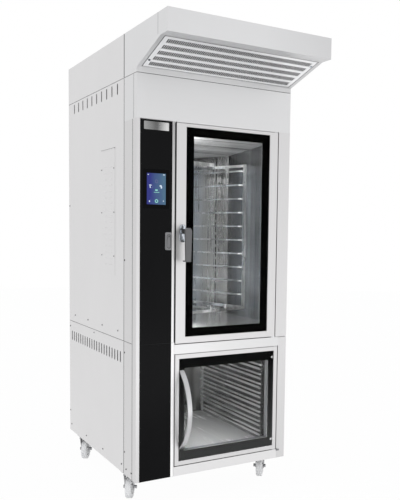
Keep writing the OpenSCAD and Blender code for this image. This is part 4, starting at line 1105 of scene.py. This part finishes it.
@dataclass
class Cabinet:
    """Outer sheet metal of both modules, with its screws."""

    shop: Workshop
    vent_rows: tuple[tuple[int, float, float, float, float], ...] = (
        (21, 219.5, 1074.0, 626.0, 60.0), (10, 266.5, 1012.0, 2040.0, 58.0))
    grille_slope: float = 16.88
    mat_folds: int = 144
    slots_per_row: int = 80
    slot_rows: int = 5
    slot_pitch: float = 10.3
    row_pitch: float = 53.5
    first_row: float = 45.5

    def build(self) -> None:
        """Dresses the panels and sets the screws."""
        shop = self.shop
        shop.dress(SIDE_STEEL_LIT, "oven_left_panel", "oven_right_panel", "proofer_left_panel", "proofer_right_panel",
                   "back_panel", "access_cover", "hood_rear_box")
        shop.dress(FRONT_STEEL_SHADED, "left_column", "right_column")
        shop.dress(LEVEL_STEEL, "top_fascia", "roof_panel", "exhaust_collar")
        shop.dress(CANOPY_STEEL, "hood_canopy")
        shop.dress(RAIL_STEEL, "proofer_front_frame")
        shop.dress(GRILLE_STEEL_LIT, "hood_filter")
        shop.dress(PLAIN_STEEL, "carcass")
        shop.dress(ZINC, "door_hinges", "caster_plates")
        shop.dress(WOOL_SLOT_SHADE, "insulation")
        shop.dress(BRASS, "service_fittings")
        shop.dress(SCREW, "screws")
        self.seam_shades()
        self.vents()
        self.grille()
        self.trims()

    def seam_shades(self) -> None:
        """Lays near-black strips in the seams between panels, painting the shade inside the seams."""
        strips = []
        for side in ((0.8, 5.0), (915.0, 919.2)):
            wiped = (side[0] - 1.1, side[0] - 0.5) if side[0] < 460 else (side[1] + 0.5, side[1] + 1.1)
            strips += [bar(side, (171, 1127), (716.9, 719.2)), bar(side, (53, 167), (716.9, 719.2)),
                       bar(side, (2, 1129), (2080.1, 2082.4)), bar(wiped, (49.4, 53.2), (2, 1859)),
                       bar(wiped, (167.0, 171.6), (2, 715)), bar(wiped, (167.0, 171.6), (720, 2076)),
                       bar(wiped, (165.8, 173.2), (2084, 2301))]
        strips += [bar((6, 914), (0.8, 5.0), (2080.1, 2082.4)), bar((6, 914), (1125, 1129), (2080.1, 2082.4)),
                   bar((2, 918), (168.1, 170.4), (2297, 2301.3)), bar((22, 193), (1.2, 5.0), (716.9, 719.1)),
                   bar((214.85, 218.0), (-0.4, 30), (712, 1855), 0.8),
                   bar((210.4, 217.6), (-1.4, 0.1), (719.5, 1855), 0.9),
                   bar((214.85, 218.0), (0.6, 30), (55, 652), 0.8)]
        self.shop.add("painted_seam_shade", strips, SEAM_SHADE, slot="gasket")

    def vents(self) -> None:
        """Rims the vent slots of both sides with the dark shadow line of their pressed edges."""
        rims = []
        for count, start, end, height, length in self.vent_rows:
            outer = rounded_outline(length * MM, 0.0128, 0.0063, 3)
            inner = rounded_outline(length * MM - 0.006, 0.0058, 0.0028, 3)
            for index in range(count):
                y = start + (end - start) * index / (count - 1)
                for x, facing in ((0.0, Facing.LEFT), (WIDTH, Facing.RIGHT)):
                    rims.append(ring_slab(outer, inner, FILM,
                                          Matrix.Translation(at(x, y, height)) @ facing.matrix()))
        self.shop.add("vent_rims", rims, SHADOW, slot="gasket")

    def grille(self) -> None:
        """Puts the dark grease mat behind the grille's slots, painted shade round each slot and round the grille's
        edge, and its two turn clips.
        """
        shop = self.shop
        slope = Matrix.Translation(at(0, 0, 2107)) @ Matrix.Rotation(math.radians(180.0 - self.grille_slope), 4, "X")
        low, high = (27.0, 893.0), (12.5, 296.5)
        step = (low[1] - low[0]) / self.mat_folds
        ridge = [((low[0] + step * i) * MM, (-3.2 - 3.0 * (i % 2)) * MM) for i in range(self.mat_folds + 1)]
        outline = ridge + [(low[1] * MM, -0.0095), (low[0] * MM, -0.0095)]
        turn = slope @ Matrix.Translation((0, (high[1] - 0.6) * MM, 0)) @ Matrix.Rotation(math.radians(90), 4, "X")
        mat = slab(outline, (high[1] - high[0] - 4.0) * MM, turn)
        shop.add("grease_mat_slot_shade", [mat], GREASE_MAT_SHADE, slot="gasket")
        # Painted shade: dark strips round the grille's edge.
        span_x, span_y = (22.2, 897.8), (10.2, 298.8)
        edge_shade = [bar((x, x + 3.6), span_y, (-3.0, 0.25), 0.3, slope) for x in (span_x[0] - 0.6, span_x[1] - 3.0)]
        edge_shade += [bar(span_x, (y, y + 3.0), (-3.0, 0.25), 0.3, slope) for y in (span_y[0] - 0.3, span_y[1] - 2.7)]
        shop.add("grille_edge_shade", edge_shade, SEAM_SHADE, slot="gasket")
        # Painted shade: a dark ring round every slot.
        outer, inner = rounded_outline(0.0072, 0.0335, 0.0012, 1), rounded_outline(0.0048, 0.0306, 0.0008, 1)
        first = WIDTH / 2 - (self.slots_per_row - 1) * self.slot_pitch / 2
        edges = [ring_slab(outer, inner, 0.0002, slope @ Matrix.Translation(
            ((first + self.slot_pitch * i) * MM, (self.first_row + self.row_pitch * row) * MM, 0.0)))
                 for row in range(self.slot_rows) for i in range(self.slots_per_row)]
        shop.add("slot_edge_shades", edges, GREASE_MAT_SHADE, slot="grille")
        profile = [(0.0, 0.0), (7.0, 0.0), (7.5, 0.8), (7.0, 2.0), (4.5, 2.4), (3.8, 4.2), (3.0, 5.0), (0.0, 5.2)]
        clips = [lathe([(r * MM, z * MM) for r, z in profile], slope @ Matrix.Translation((x * MM, y * MM, 0.0)), 20)
                 for x, y in ((36.0, 76.0), (884.0, 246.0))]
        shop.add("grille_clips", clips, CHROME_PAINTED_REFLECTION)

    def trims(self) -> None:
        """Adds painted shadow lines at fine seams, the strip with painted light, the trims over the doors, the door
        stop and the loose screws.
        """
        shop = self.shop
        # Painted shadow lines: thin dark strips along the canopy's lip wrap, the access cover's top seam and the
        # fascia's side seam.
        seam_shadows = [bar((x - 0.35, x + 0.35), (-256.8, -255.2), (2204, 2301.5), 0.3) for x in (0.0, WIDTH)]
        seam_shadows += [bar((-2.4, -0.2), (303.0, 513.0), (1739.4, 1742.0), 0.3),
                  bar((-0.5, 0.1), (38.0, 39.6), (1862, 2079), 0.2)]
        shop.add("painted_seam_shadows", seam_shadows, SHADOW, slot="stainless")
        # Painted light: the strip is near white, and its fade darkens it towards the top.
        top, foot = at(0, 0, 1859).z, at(0, 0, 1.5).z
        bright = BrushedSteel("column_strip_painted_light", (0.99, 0.985, 0.99), 0.60, Grain.ALONG_Z, 0.3, fades=(
            Fade("Z", top, foot + 0.6, (0.48, 0.48, 0.48)),))
        shop.add("column_strip", [bar((196.6, 210.2), (-0.5, 0.1), z, 0.2) for z in ((1.5, 716.0), (720.0, 1859.0))],
                 bright)
        hinge = [bar((866.0, 884.0), (-3.2, 0.2), (41.0, 50.0), 0.8),
                 lathe([(0.0, 0.0), (0.0036, 0.0), (0.0036, 0.006), (0.0, 0.0066)],
                       Matrix.Translation(at(868.0, -2.0, 47.5)), 16)]
        shop.add("lower_door_stop", hinge, CAST)
        shop.add("door_head_trims", [bar((221.5, 840.0), (1.0, 30.0), (1857.6, 1860.1), 0.2),
                                     bar((221.5, 859.0), (1.0, 30.0), (654.8, 657.4), 0.2)], FRONT_STEEL_SHADED)
        heads = shop.fasteners.make("loose_screws", [at(0.0, 651.0, 700.0), at(WIDTH, 651.0, 700.0)],
                                    Facing.LEFT.matrix(), shop.finish(SCREW), 0.0045, 0.0022)
        ride(heads, "cabinet", "zinc")


@dataclass
class Chamber:
    """Oven chamber with its rack, fan and drive."""

    shop: Workshop
    shaft_hole: Vec = (480.0, 454.7, 42.0)
    ceiling_drop: float = 0.066

    def build(self) -> None:
        """Dresses the chamber, what turns in it and what drives it."""
        shop = self.shop
        shop.dress(CHAMBER_STEEL_SHADED, "chamber_liner", "oven_front_frame")
        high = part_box("air_duct_panel")[1]
        # Painted shade: the fades darken the pale bluish panel towards its right end and along its top.
        shop.dress(BrushedSteel("air_panel_sheet_shaded", (0.70, 0.75, 0.84), 0.28, Grain.ALONG_Z, 1.6, 120.0, 0.80, fades=(
            Fade("X", at(767, 0, 0).x, at(710, 0, 0).x, (0.52, 0.52, 0.52)),
            Fade("X", high.x - 0.03, high.x - 0.06, (0.30, 0.30, 0.30)),
            Fade("Z", high.z - 0.06, high.z - 0.14, (0.10, 0.10, 0.10)))), "air_duct_panel")
        shop.dress(WIRE_STEEL, "rack_drive", "rack_left_side", "rack_right_side", "rack_base")
        shop.dress(FAN_METAL, "fan_wheel", "blower_wheel", "blower_housing")
        shop.dress(HEATER, "heating_elements")
        shop.dress(MOTOR_PAINT, "fan_motor", "rack_gearmotor")
        shop.dress(HOUSING, "control_tray")
        shop.dress(RUBBER, "chamber_gasket")
        self.lining()
        self.lamp()

    def lining(self) -> None:
        """Lays the loose sheets that line the chamber's ceiling and floor."""
        plan = [(239.0, 61.0), (873.5, 61.0), (873.5, 846.0), (86.5, 846.0), (86.5, 292.0), (239.0, 139.5)]
        baffle = holed_plate(plan, self.shaft_hole, lambda x, y: 1819.0 - self.ceiling_drop * (y - 60.0), 1.2)
        self.shop.add("ceiling_baffle", [baffle], CEILING_STEEL_LIT)
        self.shop.add("floor_lining", [holed_plate(plan, self.shaft_hole, lambda x, y: 775.2, 1.0)], FLOOR_STEEL)

    def lamp(self) -> None:
        """Stands the chamber's lamp strip on the short wall beside the door."""
        self.shop.add("chamber_lamp_case", [bar((238.2, 243.0), (68, 92), (830, 1770), 1.0)], PLAIN_STEEL)
        tube = Lit("warm_lamp", (1.0, 0.98, 0.95), (1.0, 1.0, 1.0), 1.2)
        self.shop.add("chamber_lamp", [bar((242.8, 247.0), (71, 89), (834, 1766), 1.8)], tube, slot="screen")


@dataclass
class Proofer:
    """Proofing cavity and its door."""

    shop: Workshop
    levels: int = 9
    first_level: float = 105.4
    level_pitch: float = 56.0
    lip: float = 13.0

    def build(self) -> None:
        """Dresses the cavity, its runners and its door."""
        shop = self.shop
        shop.dress(CAVITY_STEEL_SHADED, "proofer_liner", "humidifier")
        shop.dress(RUNNER_STEEL, "proofer_racks")
        shop.dress(FRONT_STEEL_SHADED, "proofer_door_frame")
        shop.dress(DOOR_GLASS, "proofer_door_glass")
        low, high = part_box("proofer_door_spacer")
        # Painted reflection: the Z fade lightens the black print to pale grey towards the bottom, standing for the
        # floor's reflection; the Y fade gives the spacer's walls their grey.
        shop.dress(PaintedGlass("proofer_border", (0.050, 0.050, 0.050), 0.5, 0.02, (
            Fade("Z", low.z + 0.04, high.z - 0.04, (0.75, 0.75, 0.75)),
            Fade("Y", low.y + 0.0035, low.y + 0.0025, (0.16, 0.16, 0.165)))), "proofer_door_spacer")
        shop.dress(HANDLE_STEEL, "proofer_handle")
        self.runners()
        bolts = shop.fasteners.make("glass_bolts", [at(826.0, 0.0, 594.0), at(828.0, 0.0, 117.0)],
                                    Facing.FRONT.matrix(), shop.finish(ZINC), 0.0075, 0.0045, 0.0016)
        ride(bolts, "proofer_door", "zinc")

    def runners(self) -> None:
        """Hangs folded tray runners with their uprights, and adds the floor tray and the lamp strip."""
        folded = []
        for level in range(self.levels):
            z = self.first_level + self.level_pitch * level
            for wall, inner in ((838.0, 818.0), (236.8, 256.8)):
                low, high = sorted((wall + (1 if inner > wall else -1), inner))
                folded.append(bar((low, high), (118, 862), (z, z + 1.4), 0.5))
                edge = (inner, inner + 1.4) if inner < wall else (inner - 1.4, inner)
                folded.append(bar(edge, (118, 862), (z, z + self.lip), 0.5))
        self.shop.add("tray_runners", folded, RUNNER_STEEL)
        # The uprights wear the darkened cavity sheet, painted shade.
        self.shop.add("runner_uprights", [bar(x, (90, 94), (79, 632), 1.0) for x in ((812, 836), (239, 262))],
                      CAVITY_STEEL_SHADED)
        self.shop.add("cavity_floor_tray", [bar((238.5, 836.5), (62, 886), (77.5, 78.6), 0.4)], TRAY_STEEL_LIT)
        self.shop.add("cavity_lamp", [bar((237.2, 241.0), (66, 84), (110, 600), 1.6)],
                      Lit("cavity_glow", (1.0, 1.0, 1.0), (1.0, 1.0, 1.0), 1.2), slot="screen")


@dataclass
class OvenDoor:
    """Glazed oven door with its lever."""

    shop: Workshop

    def build(self) -> None:
        """Dresses the door and its lever, and adds the spindle's sleeve and a strip of painted shade along the door's
        edge gap.
        """
        shop = self.shop
        shop.dress(FRONT_STEEL_SHADED, "oven_door_frame")
        shop.dress(DOOR_GLASS, "oven_door_glass")
        shop.dress(BLACK_PRINT, "oven_door_spacer")
        shop.dress(CHROME_PAINTED_REFLECTION, "door_escutcheon")
        shop.dress(LEVER_GREY, "door_lever")
        profile = [(0.0, 0.0), (12.5, 0.0), (13.0, 1.0), (13.0, 9.0), (11.5, 11.0), (11.5, 34.0), (12.5, 36.0),
                   (0.0, 36.0)]
        seat = Matrix.Translation(at(255.8, -21.5, 1300.4)) @ Facing.FRONT.matrix()
        shop.add("spindle_sleeve", [lathe([(r * MM, z * MM) for r, z in profile], seat, 28)],
                 Moulded("sleeve_black", (0.008, 0.008, 0.008), 0.4, 900.0, 0.1), "door_lever", "gasket")
        # Painted shade: a near-black strip along the door's left edge gap.
        shop.add("door_gap_shade", [bar((219.3, 219.8), (1.5, 44), (716, 1851), 0.2)], SEAM_SHADE, "oven_door", "gasket")


@dataclass
class ControlColumn:
    """Black glass column with its screen, bare plate and door keeper."""

    shop: Workshop
    plate_size: Span = (0.136, 0.041)
    signs: tuple[tuple[str, Colour, tuple[Row, ...]], ...] = (
        ("white_signs", (0.62, 0.72, 0.85), ((75.0, 1531.0, 13.0, 6.0, 0.0), (74.0, 1523.0, 6.0, 14.0, 0.0),
                                             (131.0, 1529.0, 12.0, 9.0, 0.0), (135.0, 1522.0, 8.0, 13.0, 0.0),
                                             (63.0, 1584.0, 7.0, 4.0, 0.0), (149.0, 1585.5, 11.0, 4.5, 0.0),
                                             (70.0, 1450.0, 6.0, 9.0, 0.0), (147.0, 1453.0, 6.0, 6.0, 0.0))),
        ("dim_signs", (0.10, 0.12, 0.25), ((108.0, 1551.0, 17.0, 19.0, 0.55), (82.0, 1525.0, 14.0, 18.0, 0.70))),
        ("green_signs", (0.30, 0.70, 0.60), ((108.0, 1507.0, 15.0, 7.0, 0.0), (108.5, 1452.0, 18.0, 18.0, 0.55),
                                             (109.0, 1496.0, 30.0, 2.5, 0.0))))

    def build(self) -> None:
        """Dresses the column and makes the plate, the painted shade of the keeper's recess and the picture on the
        screen.
        """
        shop = self.shop
        shop.dress(BLACK_GLASS, "column_glass")
        shop.dress(BEZEL_BLACK, "screen_bezel")
        shop.dress(CAST, "door_keeper")
        low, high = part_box("screen_bezel")
        edge = 0.020
        picture = Lit("screen_picture", (0.024, 0.030, 0.205), (0.070, 0.150, 0.235), 1.0,
                      (low.x + edge + 0.015, 0.0, 0.0), (high.x - edge - 0.01, 0.0, 0.0))
        shop.dress(picture, "touch_screen")
        self.icons()
        self.bare_plate()
        # Painted shade: a dark ring and a small dark disc in the shadow finish stand for the shade of the keeper's
        # recess.
        front = Matrix.Translation(at(176.5, -6.0, 1248.0)) @ Facing.FRONT.matrix()
        outer = rounded_outline(0.0235, 0.072, 0.010)
        shop.add("keeper_recess_shade", [ring_slab(outer, [(u * 0.82, v * 0.93) for u, v in outer], 0.0005, front),
                                   lathe([(0.0, 0.0), (0.0045, 0.0), (0.0040, 0.0012), (0.0, 0.0014)],
                                         front @ Matrix.Translation((0.002, 0.026, 0.0)), 16)], SHADOW, slot="keeper")

    def icons(self) -> None:
        """Lays plain round, square and ring-shaped signs on the lit screen."""
        for name, glow, signs in self.signs:
            flat = []
            for x, z, width, height, hollow in signs:
                matrix = Matrix.Translation(at(x, -1.0, z)) @ Facing.FRONT.matrix()
                outer = rounded_outline(width * MM, height * MM, min(width, height) * 0.49 * MM, 5)
                if hollow:
                    flat.append(ring_slab(outer, [(u * hollow, v * hollow) for u, v in outer], FILM, matrix))
                else:
                    flat.append(slab(outer, FILM, matrix))
            self.shop.add(name, flat, Lit(name + "_glow", glow, glow, 1.0), slot="screen")

    def bare_plate(self) -> None:
        """Makes the small unmarked steel plate at the top of the glass, with a painted reflection across it."""
        low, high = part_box("column_glass")
        width, height = self.plate_size
        middle = Vector(((low.x + high.x) / 2, low.y, high.z - 0.0295))
        matrix = Matrix.Translation(middle) @ Facing.FRONT.matrix()
        left, right = middle.x - width / 2, middle.x + width / 2
        # Painted reflection: a dark plate whose fades lighten its left and right parts, standing for a reflection
        # across the brushed metal.
        steel = BrushedSteel("plate_sheet_painted_reflection", (0.15, 0.15, 0.15), 0.26, Grain.ALONG_X, 0.8, fades=(
            Fade("X", left, left + width * 0.45, (0.34, 0.34, 0.34)),
            Fade("X", right - width * 0.10, right - width * 0.46, (0.62, 0.62, 0.62))))
        bm = slab(rounded_outline(width, height, 0.003), 0.0012, matrix, 0.0004)
        ride(place_mesh("bare_plate", bm, self.shop.finish(steel)), "cabinet", "stainless")


@dataclass
class Casters:
    """Four swivelling casters."""

    shop: Workshop
    corners: tuple[str, ...] = ("front_left", "front_right", "rear_left", "rear_right")

    def build(self) -> None:
        """Dresses the forks and wheels."""
        for corner in self.corners:
            self.shop.dress(FORK_ZINC, "fork_" + corner)
            self.shop.dress(NYLON, "wheel_" + corner)


@dataclass
class Studio:
    """Floor, light and camera."""

    eye: Vec = (-1.7828, -3.6806, 1.4616)
    yaw: float = -31.3
    pitch: float = -4.5
    roll: float = 0.9
    focal_px: float = 694.3
    sensor: float = 36.0
    centre_px: Span = (250.0, 286.5)
    frame_px: Span = (400.0, 500.0)
    ambient: float = 0.88
    seen_floor: float = 0.97
    lamps: tuple[tuple[str, Vec, Span, float, Vec], ...] = (
        ("key_light", (-2.6, -3.4, 3.6), (4.0, 4.0), 14.0, (0.0, 0.0, 1.2)),
        ("front_light", (2.4, -4.2, 1.5), (4.0, 4.0), 6.0, (0.0, 0.0, 1.2)),
        ("low_light", (0.9, -3.0, 0.3), (3.4, 1.4), 3.0, (0.0, -0.3, 1.6)),
        ("hood_light", (-0.3, -2.2, 0.14), (3.0, 1.4), 8.0, (0.0, -0.75, 2.35)),
        ("caster_light", (-1.5, -2.6, 0.16), (2.4, 0.3), 1.9, (0.0, 0.1, 0.02)))

    def build(self) -> None:
        """Builds the whole studio."""
        scene = bpy.context.scene
        scene.view_settings.view_transform = "Standard"
        self.camera()
        self.floor()
        self.world()
        for lamp in self.lamps:
            self.lamp(*lamp)
        self.inside_lamps()

    def camera(self) -> None:
        """Sets the camera at the photograph's viewing angle."""
        yaw, pitch, roll = (math.radians(v) for v in (self.yaw, self.pitch, self.roll))
        right = Vector((math.cos(yaw), math.sin(yaw), 0.0))
        ahead = Vector((-math.sin(yaw), math.cos(yaw), 0.0))
        up = Vector((0.0, 0.0, 1.0))
        look = ahead * math.cos(pitch) + up * math.sin(pitch)
        top = -ahead * math.sin(pitch) + up * math.cos(pitch)
        side = right * math.cos(roll) + top * math.sin(roll)
        head = -right * math.sin(roll) + top * math.cos(roll)
        data = bpy.data.cameras.new("studio_camera")
        data.sensor_width = self.sensor
        data.lens = self.focal_px * self.sensor / max(self.frame_px)
        data.shift_x = (self.frame_px[0] / 2 - self.centre_px[0]) / max(self.frame_px)
        data.shift_y = (self.centre_px[1] - self.frame_px[1] / 2) / max(self.frame_px)
        data.clip_end = 200.0
        camera = put_in_scene("studio_camera", data)
        matrix = Matrix((side, head, -look)).transposed().to_4x4()
        matrix.translation = self.eye
        camera.matrix_world = matrix
        bpy.context.scene.camera = camera

    @staticmethod
    def seen(n: ShaderNodes, share: float) -> Socket:
        """Masks what is seen by the camera, through glass or in a reflection.

        Args:
            n: Helper of the tree.
            share: Strength of the mask where the camera sees it.

        Returns:
            The mask's socket.
        """
        path = n.add("ShaderNodeLightPath")
        seen = n.math("ADD", path.outputs["Is Camera Ray"], path.outputs["Is Transmission Ray"])
        both = n.math("ADD", n.math("MULTIPLY", seen, share), path.outputs["Is Glossy Ray"])
        return n.math("MINIMUM", both, 1.0)

    def floor(self) -> None:
        """Lays a pale floor that keeps the object's shadow but looks near white."""
        bm = bmesh.new()
        bmesh.ops.create_circle(bm, cap_ends=True, segments=64, radius=14.0)
        m = Material("studio_floor")
        m.values(Base_Color=(0.86, 0.86, 0.86, 1.0), Roughness=0.9, Specular_IOR_Level=0.1)
        glow = m.n.add("ShaderNodeEmission", Strength=1.0)
        m.n.mix(self.seen(m.n, self.seen_floor), m.shader.outputs["BSDF"], glow.outputs["Emission"],
                m.out.inputs["Surface"])
        floor = place_mesh("studio_floor", bm, m.data)

    def world(self) -> None:
        """Lights the room evenly and shows it white to the camera and in reflections."""
        world = bpy.data.worlds.new("studio_room")
        world.use_nodes = True
        world.node_tree.nodes.clear()
        n = ShaderNodes(world.node_tree)
        out = n.add("ShaderNodeOutputWorld")
        room = n.add("ShaderNodeBackground", Strength=self.ambient, Color=(0.96, 0.97, 1.0, 1.0))
        white = n.add("ShaderNodeBackground", Strength=1.0, Color=(1.0, 1.0, 1.0, 1.0))
        n.mix(self.seen(n, 1.0), room.outputs[0], white.outputs[0], out.inputs["Surface"])
        bpy.context.scene.world = world

    def lamp(self, name: str, place: Vec, size: Span, power: float, target: Vec) -> None:
        """Hangs a soft rectangular lamp.

        Args:
            name: Name of the lamp.
            place: Its position.
            size: Its width and its height.
            power: Its power in watts.
            target: Point that it looks at.
        """
        data = bpy.data.lights.new(name, "AREA")
        data.shape = "RECTANGLE"
        data.size, data.size_y = size
        data.energy = power
        lamp = put_in_scene(name, data)
        lamp.visible_camera = False
        lamp.location = place
        lamp.rotation_mode = "QUATERNION"
        lamp.rotation_quaternion = (Vector(target) - Vector(place)).to_track_quat("-Z", "Y")

    def inside_lamps(self) -> None:
        """Lights the oven chamber and the proofing cavity from their front left corners."""
        left = at(256.0, 82.0, 0.0)
        for name, height, size, power, target in (
                ("chamber_light", 1298.0, (0.02, 0.94), 2.2, (0.8, 1.0, 0.0)),
                ("ceiling_light", 1768.0, (0.03, 0.05), 3.4, (0.35, 0.45, 0.80)),
                ("floor_light", 860.0, (0.03, 0.05), 2.4, (0.35, 0.50, -0.45)),
                ("cavity_light", 350.0, (0.02, 0.50), 5.0, (0.8, 0.9, -0.15))):
            place = left + Vector((0.0, 0.0, height * MM))
            self.lamp(name, tuple(place), size, power, tuple(place + Vector(target)))


def main() -> None:
    """Builds the object's looks and the studio in order."""
    shop = Workshop()
    steps: Sequence[tuple[str, Callable[[], None]]] = (
        ("cabinet", Cabinet(shop).build), ("chamber", Chamber(shop).build), ("proofer", Proofer(shop).build),
        ("oven door", OvenDoor(shop).build), ("control column", ControlColumn(shop).build),
        ("casters", Casters(shop).build), ("studio", Studio().build))
    for name, step in steps:
        step()
        LOG.info("%s done", name)


if __name__ == "__main__":
    main()
